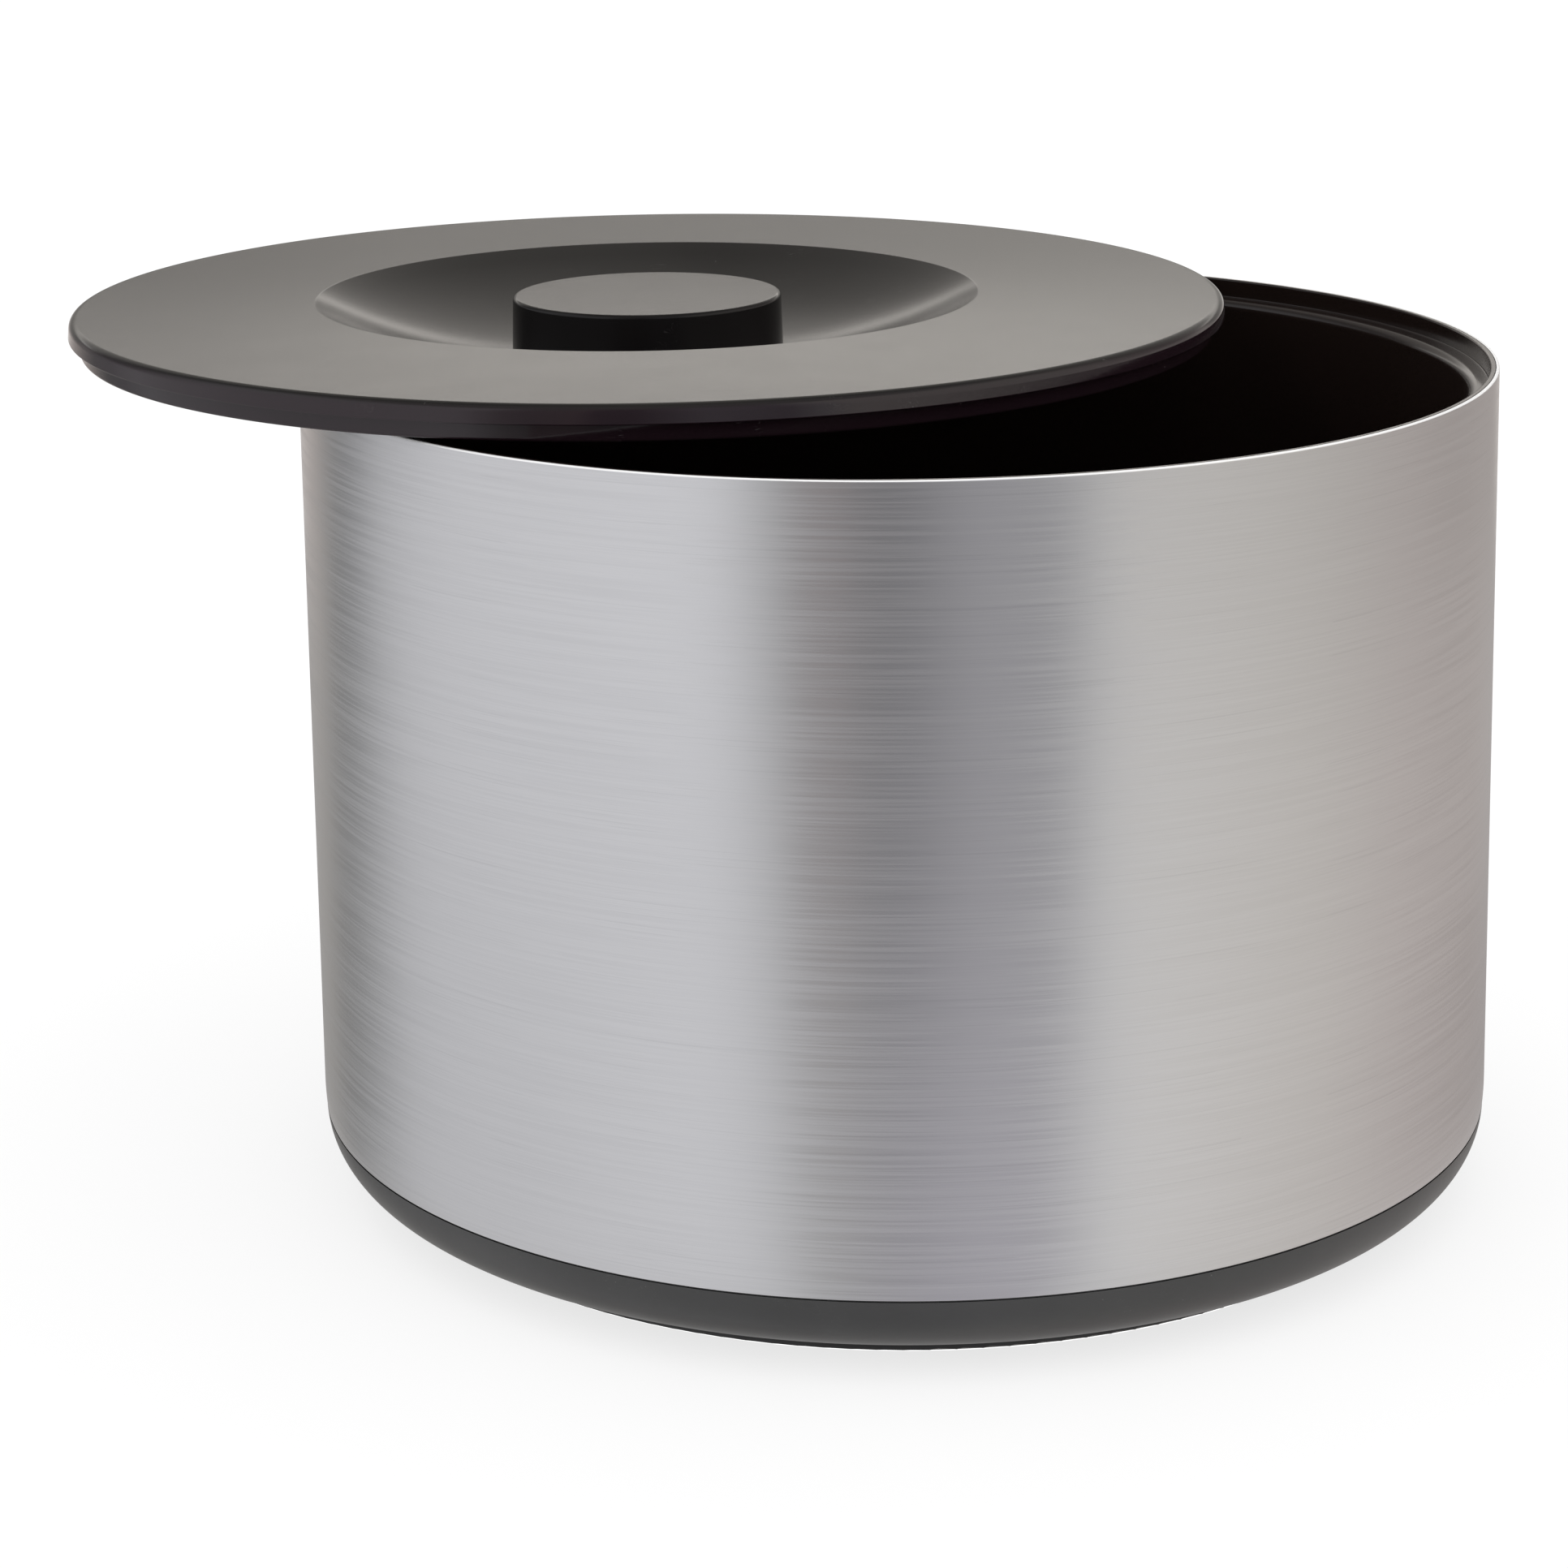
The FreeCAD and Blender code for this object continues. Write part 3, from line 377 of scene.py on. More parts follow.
def brushed_aluminium(name):
    """Sheet brushed round the tube: long fine scratches along the circumference."""
    m, g, b, co = new_material(name)
    # coordinates that are long round the tube and fine along its height
    fine = g.noise(g.scale(co, 11.0, 11.0, 2100.0), 1.0, 2.0, 0.6)
    mid = g.noise(g.scale(co, 19.0, 19.0, 1250.0), 1.0, 3.0, 0.65)
    hair = g.noise(g.scale(co, 30.0, 30.0, 2900.0), 1.0, 1.0, 0.5)
    scratch = g.noise(g.scale(co, 24.0, 24.0, 3400.0), 1.0, 0.0, 0.5)
    deep = g.math("GREATER_THAN", scratch, 0.735)
    # the sheet's cut edges are unbrushed; their near-white, mostly non-metallic colour is a painted highlight
    facing = g.node("ShaderNodeSeparateXYZ")
    g.put(facing.inputs[0], g.node("ShaderNodeNewGeometry").outputs["Normal"])
    cut_edge_painted_highlight = g.span(g.math("ABSOLUTE", facing.outputs[2]), 0.30, 0.55)
    soft = g.noise(co, 9.0, 2.0, 0.5)
    brush = g.math("ADD", g.math("MULTIPLY", fine, 0.5), g.math("MULTIPLY", mid, 0.3))
    brush = g.math("MULTIPLY_ADD", hair, 0.2, brush)
    # every line scatters a little differently: rough lines spread the light round the tube
    line = g.span(brush, 0.44, 0.58)
    base = g.mix(line, (0.785, 0.785, 0.793), (0.815, 0.815, 0.823))
    base = g.mix(g.math("MULTIPLY", deep, 0.14), base, (0.5, 0.5, 0.51))
    # painted highlight: the up- and down-facing edge faces are made near-white, and below mostly non-metallic
    base = g.mix(cut_edge_painted_highlight, base, (0.86, 0.86, 0.86))
    rr = g.blend(line, 0.31, 0.39)
    rr = g.math("MULTIPLY_ADD", g.math("SUBTRACT", soft, 0.5), 0.04, rr)
    rr = g.blend(cut_edge_painted_highlight, rr, 0.25)
    height = g.math("SUBTRACT", g.math("MULTIPLY_ADD", hair, 0.6, fine), g.math("MULTIPLY", deep, 0.35))
    nrm = g.bump(height, 0.07, 0.00006)
    g.put(b.inputs["Metallic"], g.blend(cut_edge_painted_highlight, 1.0, 0.15))
    tan = g.node("ShaderNodeTangent", direction_type="RADIAL", axis="Z")
    g.put(b.inputs["Tangent"], tan.outputs[0])
    g.put(b.inputs["Base Color"], base)
    g.put(b.inputs["Roughness"], rr)
    g.put(b.inputs["Normal"], nrm)
    g.put(b.inputs["Anisotropic"], g.blend(cut_edge_painted_highlight, g.blend(line, 0.97, 0.67), 0.0))
    b.inputs["Anisotropic Rotation"].default_value = 0.25
    return m


def turned_metal(name, low, high, rough, lines=2600.0):
    """Plated or turned fastener metal with fine rings and light tarnish."""
    m, g, b, co = new_material(name)
    rings = g.noise(g.scale(co, 500.0, 500.0, lines), 1.0, 2.0, 0.6)
    stain = g.noise(co, 260.0, 4.0, 0.6)
    base = g.mix(g.span(stain, 0.35, 0.7), low, high)
    rr = g.math("MULTIPLY_ADD", g.math("SUBTRACT", stain, 0.5), 0.3, rough)
    nrm = g.bump(rings, 0.12, 0.00005)
    g.put(b.inputs["Base Color"], base)
    g.put(b.inputs["Roughness"], rr)
    g.put(b.inputs["Normal"], nrm)
    b.inputs["Metallic"].default_value = 1.0
    return m


def closed_cell_foam(name):
    m, g, b, co = new_material(name)
    cells = g.voronoi(co, 620.0)
    big = g.voronoi(co, 190.0)
    tone = g.noise(co, 18.0, 3.0, 0.6)
    base = g.mix(g.span(tone, 0.3, 0.7), (0.80, 0.75, 0.62), (0.90, 0.87, 0.78))
    base = g.mix(g.span(cells, 0.25, 0.7, 0.0, 0.35), base, (0.60, 0.54, 0.42))
    h = g.math("ADD", cells, g.math("MULTIPLY", big, 0.5))
    g.put(b.inputs["Base Color"], base)
    g.put(b.inputs["Normal"], g.bump(h, 0.5, 0.0006))
    b.inputs["Roughness"].default_value = 0.85
    b.inputs["Subsurface Weight"].default_value = 0.1
    b.inputs["Subsurface Radius"].default_value = (0.002, 0.002, 0.0015)
    return m


def soft_rubber(name):
    m, g, b, co = new_material(name)
    fine = g.noise(co, 2600.0, 3.0, 0.6)
    bloom = g.noise(co, 120.0, 4.0, 0.6)
    base = g.mix(g.span(bloom, 0.4, 0.75), (0.018, 0.018, 0.019), (0.045, 0.044, 0.042))
    g.put(b.inputs["Base Color"], base)
    g.put(b.inputs["Roughness"], g.span(bloom, 0.2, 0.8, 0.62, 0.85))
    g.put(b.inputs["Normal"], g.bump(fine, 0.2, 0.00005))
    return m


# the lid's upright faces, top and underside, carry a painted purplish sheen colour
M_LID = moulded_plastic("lid_satin_plastic", (0.0062, 0.0056, 0.0052), 0.168, peel=0.03,
                        grain=0.05, dust=0.22, tint=0.15, rough_var=0.014, side_rough=0.07,
                        painted_side_sheen=(0.0112, 0.0058, 0.0082))
M_UNDER = moulded_plastic("lid_under_plastic", (0.0060, 0.0055, 0.0052), 0.20, peel=0.03,
                          grain=0.03, dust=0.3, rough_var=0.03, side_rough=0.08,
                          painted_side_sheen=(0.0108, 0.0058, 0.0080))
M_KNOB = moulded_plastic("knob_plastic", (0.0058, 0.0050, 0.0050), 0.115, peel=0.03,
                         grain=0.05, dust=0.08, rough_var=0.03, side_rough=0.22,
                        spec=0.28)
M_LINER = moulded_plastic("liner_gloss_plastic", (0.0118, 0.0078, 0.0066), 0.16, peel=0.03,
                          grain=0.03, dust=0.0, rough_var=0.03)
M_BASE = moulded_plastic("base_satin_plastic", (0.040, 0.040, 0.040), 0.34, peel=0.05,
                         grain=0.16, dust=0.25, rough_var=0.06, grain_scale=2600.0)
M_PLATE = moulded_plastic("foot_satin_plastic", (0.026, 0.026, 0.026), 0.42, peel=0.05,
                          grain=0.2, dust=0.35, rough_var=0.08, grain_scale=2400.0)
M_ALU = brushed_aluminium("sleeve_brushed_aluminium")
M_STEEL = turned_metal("plated_steel", (0.46, 0.46, 0.47), (0.64, 0.64, 0.66), 0.30)
M_BRASS = turned_metal("turned_brass", (0.62, 0.44, 0.19), (0.80, 0.62, 0.30), 0.28)
M_FOAM = closed_cell_foam("insulation_foam_cells")
M_RUBBER = soft_rubber("seal_rubber_black")

# ------------------------------------------------------------------ sizes, mm
# Taken from the boxes of the parts in model.glb where a box gives them, so that the pieces follow the CAD.
lo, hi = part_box("outer_sleeve")
RIM = hi.z / MM
R_OUT = round((hi.x - lo.x) / 2 / MM, 1)
SLEEVE_LOW = lo.z / MM
lo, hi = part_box("lid_top")
LX, LY = round((lo.x + hi.x) / 2 / MM, 1), round((lo.y + hi.y) / 2 / MM, 1)
lo_u, hi_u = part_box("lid_underside")
# the lid's own frame has its top edge plane at 40 mm; the knob's top is 0.7 above it
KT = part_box("knob")[1].z / MM
LZ = KT - 40.7
WALL, ROLL, RISE = 0.8, 0.3, 6.0

# ------------------------------------------------------------------ bucket
rc = (RISE * RISE + ROLL * ROLL) / (2 * ROLL)
sleeve = turned_piece(
    "sleeve_brushed",
    [
        corner(R_OUT - ROLL, SLEEVE_LOW, arc=(rc, 1)),
        corner(R_OUT, SLEEVE_LOW + RISE),
        corner(R_OUT, RIM, 0.45),
        corner(R_OUT - WALL, RIM, 0.12),
        corner(R_OUT - WALL, SLEEVE_LOW + RISE, arc=(rc, -1)),
        corner(R_OUT - WALL - ROLL, SLEEVE_LOW),
    ],
    M_ALU, "bucket", seg=384, step=6.0, arc_deg=1.0,
    stands_for=["outer_sleeve"],
)

# liner: values as in the CAD sheet
SK_OUT = R_OUT - WALL - 0.1
SK_IN = SK_OUT - 2.2
LEDGE = RIM - 4.8
LEDGE_LOW = LEDGE - 2.6
MOUTH, WELL, FLOOR = 137.4, 131.0, 24.0
boss = [
    corner(1.9, 8.6, 0.15),
    corner(6.0, 8.6, 0.4),
    corner(6.0, 22.4),
    corner(0.0, 22.4),
    corner(0.0, 19.8),
    corner(1.9, 19.8),
]
liner = turned_piece(
    "liner_tub",
    [
        corner(0, FLOOR - 2.5),
        corner(WELL + 2.3, FLOOR - 2.5, 16.3),
        corner(MOUTH + 2.3, LEDGE_LOW),
        corner(SK_IN, LEDGE_LOW),
        corner(SK_IN, 186.0, 0.3),
        corner(SK_OUT, 186.0, 0.3),
        corner(SK_OUT, RIM, 0.15),
        corner(142.8, RIM, 0.5),
        corner(142.8, LEDGE, 0.35),
        corner(MOUTH, LEDGE, 2.5),
        corner(WELL, FLOOR, 14.0),
        corner(0, FLOOR),
    ],
    M_LINER, "bucket", seg=384, step=8.0, arc_deg=6.0,
    extra=[(boss, 48, (100 * math.cos(a), 100 * math.sin(a)))
           for a in (0, math.pi / 2, math.pi, 3 * math.pi / 2)],
    stands_for=["inner_liner"],
)

SP_OUT = R_OUT - WALL - ROLL - 0.2
base = turned_piece(
    "base_moulding",
    [
        corner(0, 6.0),
        corner(118.5, 6.0),
        corner(118.5, 4.7, 0.3),
        corner(133.0, 4.7, arc=(16.0, 1)),
        corner(R_OUT - ROLL, SLEEVE_LOW, 0.25),
        corner(SP_OUT, SLEEVE_LOW),
        corner(SP_OUT, 30.0, 0.3),
        corner(SP_OUT - 1.9, 30.0, 0.3),
        corner(SP_OUT - 1.9, SLEEVE_LOW - 2.3, arc=(13.4, -1)),
        corner(131.6, 7.3),
        corner(121.1, 7.3),
        corner(121.1, 8.5),
        corner(0, 8.5),
    ],
    M_BASE, "bucket", seg=384, step=9.0, arc_deg=3.0,
    stands_for=["base_shell"],
)

# ------------------------------------------------------------------ lid
A = math.radians(25.0)
FLAT, CURVE = 19.9, 139.0
FLOOR_Z = 40.0 - 14.35
CZ = FLOOR_Z + CURVE


def bowl_end(r):
    return FLAT + r * math.sin(A), CZ - r * math.cos(A)


def bowl_line(r, z):
    er, ez = bowl_end(r)
    return er + (z - ez) / math.tan(A)


def bowl_arc(r, z):
    return FLAT + math.sqrt(r * r - (CZ - z) ** 2)


HUB = FLOOR_Z + 5.0
crease = (bowl_line(CURVE, 40.9), 40.9)
ru = CURVE + 2.4
lid_at = (LX, LY, LZ)
lid_top = turned_piece(
    "lid_top_shell",
    [
        corner(3.3, HUB),
        corner(12.5, HUB, 0.4),
        corner(12.5, FLOOR_Z),
        corner(FLAT, FLOOR_Z, arc=(CURVE, 1)),
        corner(*bowl_end(CURVE)),
        corner(*crease, f=1.2),
        corner(144.5, 40.0, 2.2),
        corner(144.9, 35.5, 0.3),
        corner(140.6, 35.5),
        corner(140.4, 37.4),
        corner(bowl_line(ru, 38.5), 38.5),
        corner(*bowl_end(ru), arc=(ru, -1)),
        corner(FLAT, FLOOR_Z - 2.4),
        corner(10.1, FLOOR_Z - 2.4),
        corner(10.1, HUB - 2.4),
        corner(3.3, HUB - 2.4),
    ],
    M_LID, "lid", at=lid_at, seg=384, step=6.0, arc_deg=2.0,
    stands_for=["lid_top"],
)

ri = CURVE + 2.4 + 0.5
ro = ri + 2.1
lid_under = turned_piece(
    "lid_under_shell",
    [
        corner(9.5, CZ - ri),
        corner(FLAT, CZ - ri, arc=(ri, 1)),
        corner(bowl_arc(ri, 32.2), 32.2),
        corner(132.2, 32.2),
        corner(132.2, 33.4),
        corner(137.8, 33.4),
        corner(137.8, 37.0),
        corner(140.0, 37.0),
        corner(140.0, 35.3),
        corner(142.0, 35.3, 0.2),
        corner(142.0, 31.2, 0.8),
        corner(134.5, 31.2, 0.3),
        corner(134.5, 30.0, 0.8),
        corner(bowl_arc(ro, 30.0), 30.0, arc=(ro, -1)),
        corner(FLAT, CZ - ro),
        corner(9.5, CZ - ro, 0.3),
    ],
    M_UNDER, "lid", at=lid_at, seg=384, step=6.0, arc_deg=2.0,
    stands_for=["lid_underside"],
)

KL = FLOOR_Z + 0.8
BZ = HUB + 1.0 + 0.1
knob = turned_piece(
    "knob_cap",
    [
        corner(4.15, BZ),
        corner(8.0, BZ, 0.3),
        corner(8.0, 37.7, 0.8),
        corner(31.35, 37.7, 0.8),
        corner(31.75, KL, 0.3),
        corner(34.25, KL, 0.4),
        corner(33.85, 40.7, 1.0),
        corner(0, 40.7),
        corner(0, BZ + 0.2 + 5.8 + 0.3),
        corner(4.15, BZ + 0.2 + 5.8 + 0.3),
    ],
    M_KNOB, "lid", at=lid_at, seg=256, step=6.0, arc_deg=4.0,
    stands_for=["knob"],
)

# ------------------------------------------------------------------ CAD nodes that stay
for node, material in {
    "base_plate": M_PLATE,
    "base_screws": M_STEEL,
    "wall_insulation": M_FOAM,
    "floor_insulation": M_FOAM,
    "lid_insulation": M_FOAM,
    "knob_insert": M_BRASS,
    "knob_seal": M_RUBBER,
    "knob_washer": M_STEEL,
    "knob_screw": M_STEEL,
    "lid_screw_cap": M_UNDER,
}.items():
    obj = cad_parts[node]
    obj.data.materials.clear()
    obj.data.materials.append(material)

# ------------------------------------------------------------------ floor
mesh = bpy.data.meshes.new("floor")
S = 12.0
mesh.from_pydata([(-S, -S, -0.0002), (S, -S, -0.0002), (S, S, -0.0002), (-S, S, -0.0002)], [], [(0, 1, 2, 3)])
floor = bpy.data.objects.new("floor", mesh)
bpy.context.scene.collection.objects.link(floor)
# the few light colours of the studio
WHITE, COOL, BLUE = (1.0, 1.0, 1.0), (1.0, 1.0, 1.03), (1.0, 0.97, 1.05)
ROSE, WARM, LAMP = (1.1, 0.95, 0.95), (1.03, 0.98, 0.92), (1.06, 0.96, 0.91)


def coloured(lights):
    return [(d, tuple(v * c for c in colour)) for d, v, colour in lights]


# brightness of the reflected table by distance from the axis: painted shade in the middle, under the bucket
TABLE = [(0.0, 0.40), (0.11, 0.60), (0.16, 0.70), (0.25, 0.72), (0.40, 0.76), (1.0, 0.74)]
TABLE_ROUND = coloured([
    (-180, 0.65, WHITE), (-150, 0.5, WARM), (-138, 0.3, WHITE), (-127, 0.45, WHITE),
    (-110, 0.8, COOL), (-28, 0.9, COOL), (-18, 0.6, WHITE), (0, 0.58, BLUE), (22, 0.6, BLUE),
    (36, 0.95, WHITE), (80, 0.85, WARM), (110, 0.7, LAMP), (140, 0.6, LAMP), (180, 0.65, WHITE),
])
fm, fg, fb, fco = new_material("pale_floor")
mottle = fg.noise(fco, 3.0, 3.0, 0.5)
fg.put(fb.inputs["Base Color"], fg.mix(fg.span(mottle, 0.3, 0.7), (0.90, 0.90, 0.90), (0.925, 0.925, 0.925)))
fb.inputs["Roughness"].default_value = 0.9
fb.inputs["Specular IOR Level"].default_value = 0.0
mesh.materials.append(fm)
# Mirror-like surfaces see a glowing pale table of limited size under the bucket, a painted reflection
# of the floor with painted shade where the bucket stands over it; past its edge they see the studio.
flen = fg.node("ShaderNodeVectorMath", operation="LENGTH")
fg.put(flen.inputs[0], fg.node("ShaderNodeNewGeometry").outputs["Position"])
fdist = flen.outputs["Value"]
seen = fg.node("ShaderNodeEmission")
fin = fg.node("ShaderNodeSeparateXYZ")
fg.put(fin.inputs[0], fg.node("ShaderNodeNewGeometry").outputs["Incoming"])
faz = fg.math("MULTIPLY", fg.math("ARCTAN2", fg.math("MULTIPLY", fin.outputs[0], -1.0), fin.outputs[1]),
              180 / math.pi)
tone = fg.ramp(fg.math("ADD", fg.math("DIVIDE", faz, 360.0), 0.5),
               [((d + 180) / 360.0, c) for d, c in TABLE_ROUND])
tone = fg.mix(1.0, fg.ramp(fg.span(fdist, 0.0, 1.2), TABLE), tone, "MULTIPLY")
# painted shade on the right and painted light on the left, close round the bucket's foot
painted_shading_near_foot = fg.span(fdist, 0.22, 0.50, 1.0, 0.0, True)
painted_shading_near_foot = fg.math("MULTIPLY", painted_shading_near_foot, fg.span(fdist, 0.15, 0.20, 0.0, 1.0, True))
tone = fg.mix(fg.math("MULTIPLY", painted_shading_near_foot, fg.span(faz, 5.0, 75.0)), tone,
              fg.mix(1.0, tone, (0.80, 0.79, 0.80), "MULTIPLY"))
tone = fg.mix(fg.math("MULTIPLY", painted_shading_near_foot, fg.span(faz, -90.0, -30.0, 0.0, 1.0, True)), tone,
              fg.mix(1.0, tone, (1.09, 1.09, 1.09), "MULTIPLY"))
# a painted bright ring just round the foot
painted_glow_ring = fg.math("MULTIPLY", fg.span(fdist, 0.150, 0.185, 1.0, 0.0, True),
               fg.span(fg.math("ABSOLUTE", faz), 25.0, 75.0, 0.0, 1.0, True))
tone = fg.mix(fg.math("MULTIPLY", painted_glow_ring, 0.32), tone, (0.88, 0.86, 0.85))
fg.put(seen.inputs["Color"], tone)
# straight in front the table ends sooner
gap = fg.math("MULTIPLY", fg.span(faz, -28.0, -20.0, 0.0, 1.0, True), fg.span(faz, 24.0, 36.0, 1.0, 0.0, True))
fdist = fg.math("MULTIPLY", fdist, fg.math("MULTIPLY_ADD", gap, 0.95, 1.0))
clear = fg.node("ShaderNodeBsdfTransparent")
table = fg.node("ShaderNodeMixShader")
fg.put(table.inputs[0], fg.span(fdist, 0.62, 0.95, 0.0, 1.0, True))
fg.t.links.new(seen.outputs[0], table.inputs[1])
fg.t.links.new(clear.outputs[0], table.inputs[2])
fpath = fg.node("ShaderNodeLightPath")
fpale = fg.node("ShaderNodeEmission")
fpale.inputs["Color"].default_value = (1.0, 1.0, 1.0, 1.0)
flift = fg.node("ShaderNodeMixShader")
fg.put(flift.inputs[0], fg.math("MULTIPLY", fpath.outputs["Is Camera Ray"], 0.75))
fg.t.links.new(fb.outputs[0], flift.inputs[1])
fg.t.links.new(fpale.outputs[0], flift.inputs[2])
fsplit = fg.node("ShaderNodeMixShader")
fg.put(fsplit.inputs[0], fpath.outputs["Is Glossy Ray"])
fg.t.links.new(flift.outputs[0], fsplit.inputs[1])
fg.t.links.new(table.outputs[0], fsplit.inputs[2])
# seen from below, and right under the foot, the floor isn't there, so the underside shows
fback = fg.math("MAXIMUM", fg.node("ShaderNodeNewGeometry").outputs["Backfacing"],
                fg.math("LESS_THAN", flen.outputs["Value"], 0.1255))
fopen = fg.node("ShaderNodeMixShader")
fg.put(fopen.inputs[0], fback)
fg.t.links.new(fsplit.outputs[0], fopen.inputs[1])
fg.t.links.new(fg.node("ShaderNodeBsdfTransparent").outputs[0], fopen.inputs[2])
fout = next(n for n in fm.node_tree.nodes if n.type == "OUTPUT_MATERIAL")
fg.t.links.new(fopen.outputs[0], fout.inputs["Surface"])

# ------------------------------------------------------------------ studio light
# Soft light from all round: an even white dome lights the floor, and mirror-like
# surfaces see a studio of two tall soft panels with a dim gap between them, a
# white sweep behind and a dimmer ceiling.
world = bpy.data.worlds.new("studio")
bpy.context.scene.world = world
world.use_nodes = True
g = Graph(world.node_tree)
wout = g.node("ShaderNodeOutputWorld")
direction = g.node("ShaderNodeTexCoord").outputs["Generated"]
sep = g.node("ShaderNodeSeparateXYZ")
g.put(sep.inputs[0], direction)
dx, dy, dz = sep.outputs
az = g.math("ARCTAN2", dx, g.math("MULTIPLY", dy, -1.0))  # 0 towards the camera
azd = g.math("MULTIPLY", az, 180 / math.pi)
eld = g.math("MULTIPLY", g.math("ARCSINE", dz), 180 / math.pi)

# The lights round the horizon, as (degrees, brightness, light colour): a cool panel on
# the left, a gap in front, a warm panel on the right, and the room behind on both sides.
LIGHTS = [
    (-180, 1.15, WHITE), (-160, 0.6, LAMP), (-148, 0.45, LAMP), (-136, 0.25, WHITE),
    (-127, 0.32, COOL), (-115, 0.6, COOL), (-95, 0.7, COOL), (-40, 0.8, COOL),
    (-35, 0.75, COOL), (-27, 0.38, WHITE), (-22, 0.3, WHITE), (-13, 0.32, ROSE),
    (-9, 0.18, BLUE), (-2, 0.18, BLUE), (12, 0.5, BLUE), (27, 0.4, BLUE), (34, 0.7, WHITE),
    (40, 0.9, WARM), (60, 0.88, WARM), (85, 0.8, WARM), (105, 0.7, LAMP), (130, 0.45, LAMP),
    (150, 0.65, LAMP), (160, 1.0, WARM), (180, 1.15, WHITE),
]
RING = coloured(LIGHTS)
# brightness of the sweep behind by height, and its change from side to side
SWEEP = [
    (-20, 0.3), (4, 0.36), (8.5, 0.32), (9.5, 0.36), (11.4, 1.4), (12.4, 1.75), (13.3, 1.1),
    (14.5, 0.58), (18, 0.5), (25, 0.43), (48, 0.38), (65, 0.3), (90, 0.27),
]
WIDE = coloured([
    (0, 1.0, WHITE), (140, 0.6, WARM), (165, 0.95, WARM), (173, 1.1, WARM), (184, 1.0, WARM),
    (188, 0.78, WARM), (200, 0.78, WARM), (225, 0.6, WHITE), (359, 1.0, WHITE),
])
# the room past the table's edge, in front and to the right
ROOM = coloured([
    (-30, 0.2, ROSE), (-14, 0.2, ROSE), (-9, 0.15, WHITE), (0, 0.15, WHITE), (12, 0.22, WHITE),
    (24, 0.22, WHITE), (34, 0.15, WHITE), (85, 0.15, WARM), (115, 0.25, LAMP), (140, 0.35, LAMP),
])
ring = g.ramp(g.math("ADD", g.math("DIVIDE", azd, 360.0), 0.5),
              [((d + 180) / 360.0, c) for d, c in RING])
# ceiling takes over above 50 degrees
ceil_f = g.span(eld, 40.0, 62.0, 0.0, 1.0, True)
col = g.mix(ceil_f, ring, (0.36, 0.35, 0.345))
rear = g.math("MULTIPLY", g.span(g.math("ABSOLUTE", azd), 92.0, 128.0, 0.0, 1.0, True),
              g.span(eld, 2.0, 16.0, 0.0, 1.0, True))
col = g.mix(rear, col, g.mix(1.0, col, (0.58, 0.58, 0.58), "MULTIPLY"))
# behind the object: a pale sweep whose brightness rises just above the table
back_f = g.span(g.math("ABSOLUTE", azd), 138.0, 150.0, 0.0, 1.0, True)
sweep = g.ramp(g.math("DIVIDE", g.math("ADD", eld, 20.0), 110.0),
               [((e + 20.0) / 110.0, c) for e, c in SWEEP])
wide = g.ramp(g.math("ADD", g.math("DIVIDE", g.math("WRAP", azd, 360.0, 0.0), 360.0), 0.0),
              [(d / 360.0, c) for d, c in WIDE])
sweep = g.mix(1.0, sweep, wide, "MULTIPLY")
high = g.math("MULTIPLY", back_f, g.span(eld, -8.0, 2.0, 0.0, 1.0, True))
col = g.mix(high, col, sweep)
# the dim room under the lights, past the table's edge in front and to the right
side = g.math("MULTIPLY", g.span(azd, -23.5, -21.0, 0.0, 1.0, True),
              g.span(azd, 150.0, 168.0, 1.0, 0.0, True))
band = g.span(eld, -5.0, -1.5, 1.0, 0.0, True)
room = g.ramp(g.span(azd, -30.0, 170.0), [((d + 30) / 200.0, c) for d, c in ROOM])
col = g.mix(g.math("MULTIPLY", side, band), col, room)

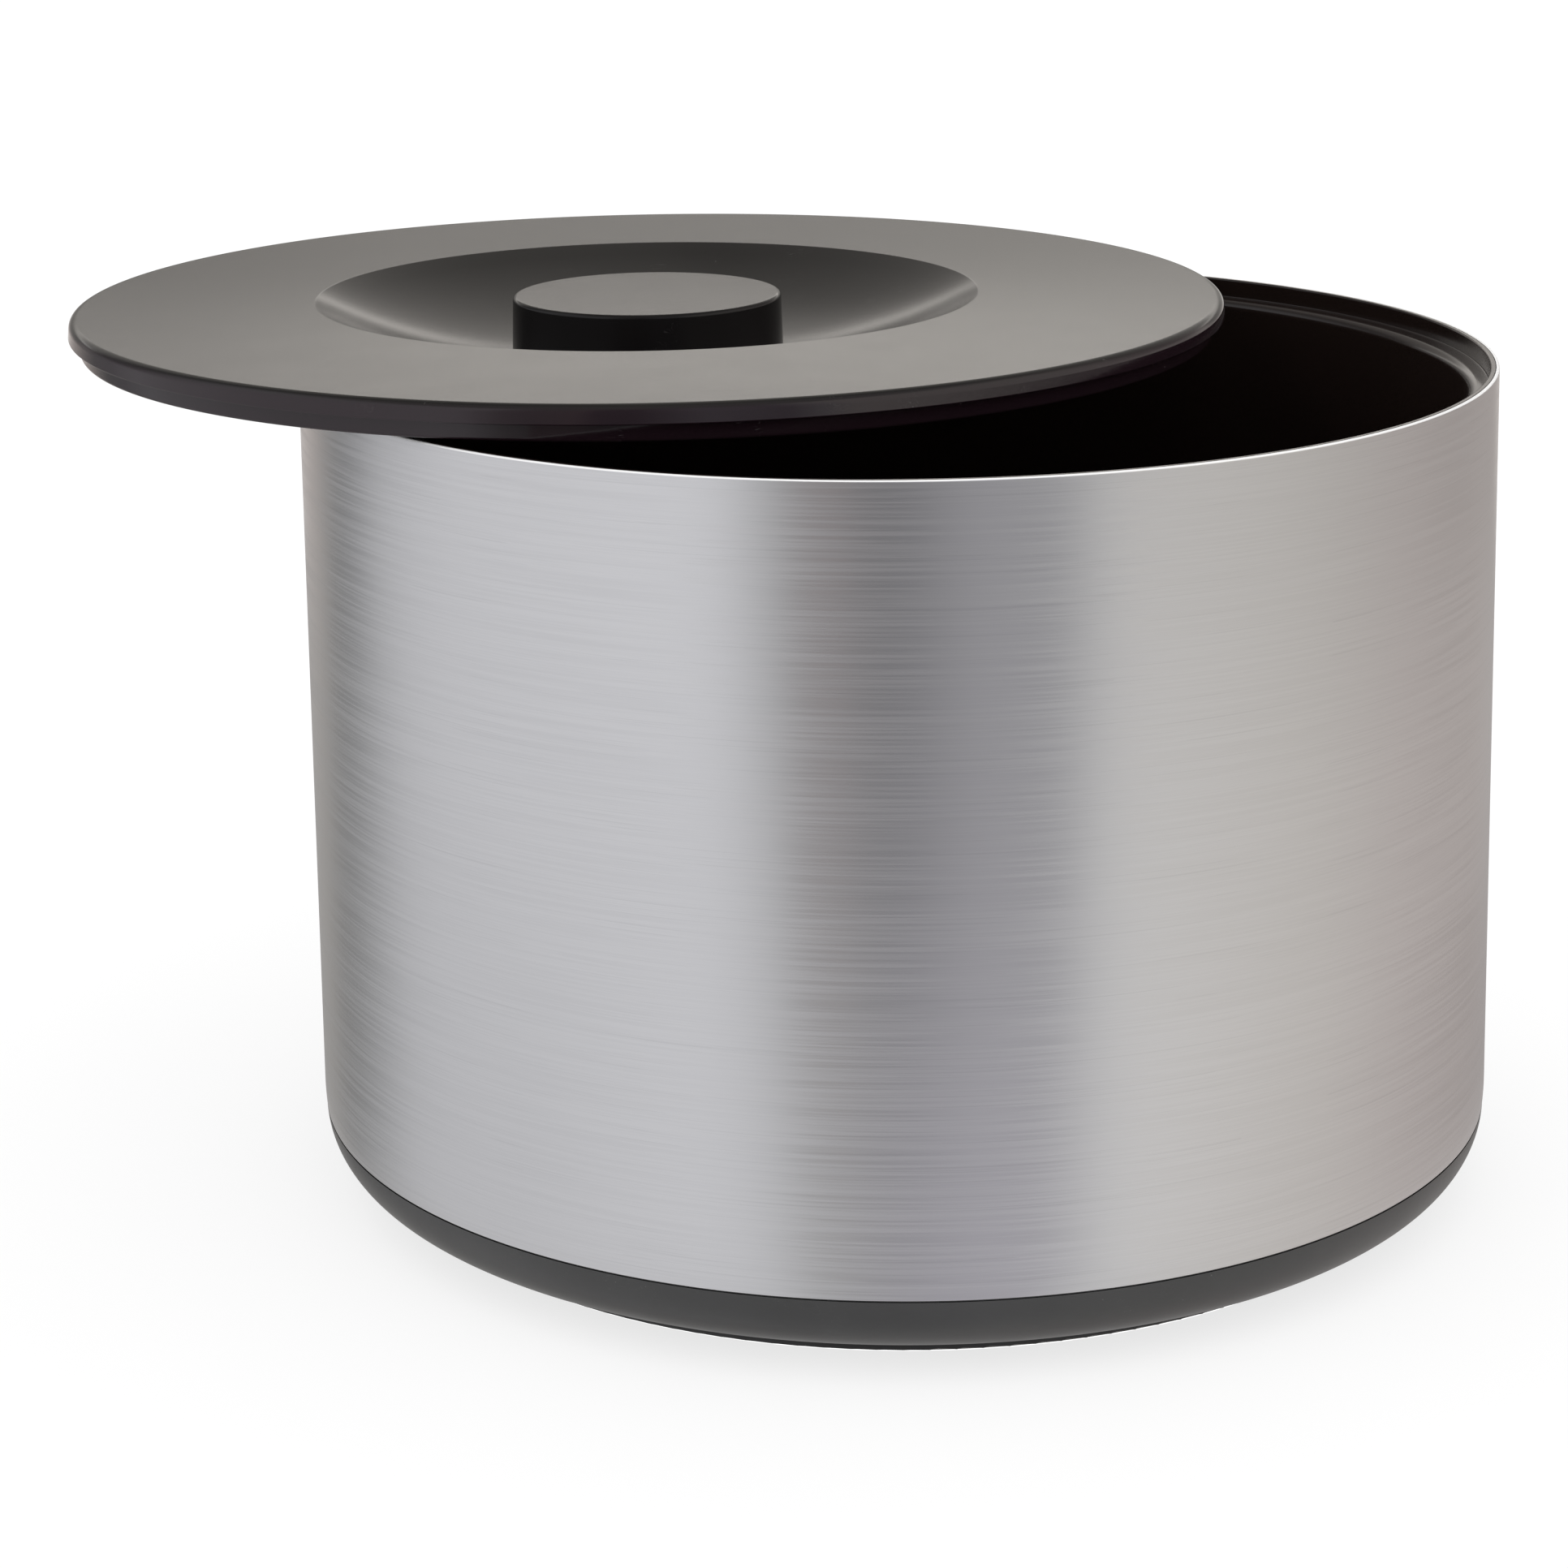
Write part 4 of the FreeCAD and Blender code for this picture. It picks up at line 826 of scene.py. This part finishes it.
studio = g.node("ShaderNodeBackground")
g.put(studio.inputs[0], col)
studio.inputs[1].default_value = 1.0
dome = g.node("ShaderNodeBackground")
dome.inputs[0].default_value = (1.0, 1.0, 1.0, 1.0)
dome.inputs[1].default_value = 1.34
path = g.node("ShaderNodeLightPath")
mixs = g.node("ShaderNodeMixShader")
g.put(mixs.inputs[0], path.outputs["Is Glossy Ray"])
g.t.links.new(dome.outputs[0], mixs.inputs[1])
g.t.links.new(studio.outputs[0], mixs.inputs[2])
g.t.links.new(mixs.outputs[0], wout.inputs[0])

scene = bpy.context.scene
scene.view_settings.view_transform = "Standard"
scene.view_settings.look = "None"
scene.view_settings.exposure = 0.0
scene.view_settings.gamma = 1.0

# ------------------------------------------------------------------ camera
PITCH, ROLLC = math.radians(11.52), math.radians(-1.03)
TARGET = Vector((-46.7, 0.0, 182.6)) * MM
DIST = 0.982
F_PX, CX, CY, SIZE = 4933.5, 868.7, 544.0, 1932.0
back = Vector((0, -math.cos(PITCH), math.sin(PITCH)))
right0 = Vector((1, 0, 0))
up0 = right0.cross(-back)
right = math.cos(ROLLC) * right0 + math.sin(ROLLC) * up0
up = -math.sin(ROLLC) * right0 + math.cos(ROLLC) * up0
cam = bpy.data.cameras.new("camera")
cam_obj = bpy.data.objects.new("camera", cam)
scene.collection.objects.link(cam_obj)
rot = Matrix((right, up, back)).transposed().to_4x4()
cam_obj.matrix_world = Matrix.Translation(TARGET + back * DIST) @ rot
cam.sensor_fit = "HORIZONTAL"
cam.sensor_width = 36.0
cam.lens = F_PX / SIZE * 36.0
# the lens shift belongs to this position; seen from elsewhere the object is centred
for prop, value in (("shift_x", (SIZE / 2 - CX) / SIZE), ("shift_y", (CY - SIZE / 2) / SIZE)):
    setattr(cam, prop, value)
    drive = cam.driver_add(prop).driver
    drive.type = "SCRIPTED"
    for name, channel in (("x", "LOC_X"), ("y", "LOC_Y"), ("z", "LOC_Z")):
        var = drive.variables.new()
        var.name = name
        var.type = "TRANSFORMS"
        var.targets[0].id = cam_obj
        var.targets[0].transform_type = channel
        var.targets[0].transform_space = "WORLD_SPACE"
    place = cam_obj.matrix_world.translation
    drive.expression = "%.7f if abs(x - (%.5f)) + abs(y - (%.5f)) + abs(z - (%.5f)) < 0.01 else 0.0" % (
        value, place[0], place[1], place[2])
cam.clip_start = 0.01
cam.clip_end = 100.0
scene.camera = cam_obj
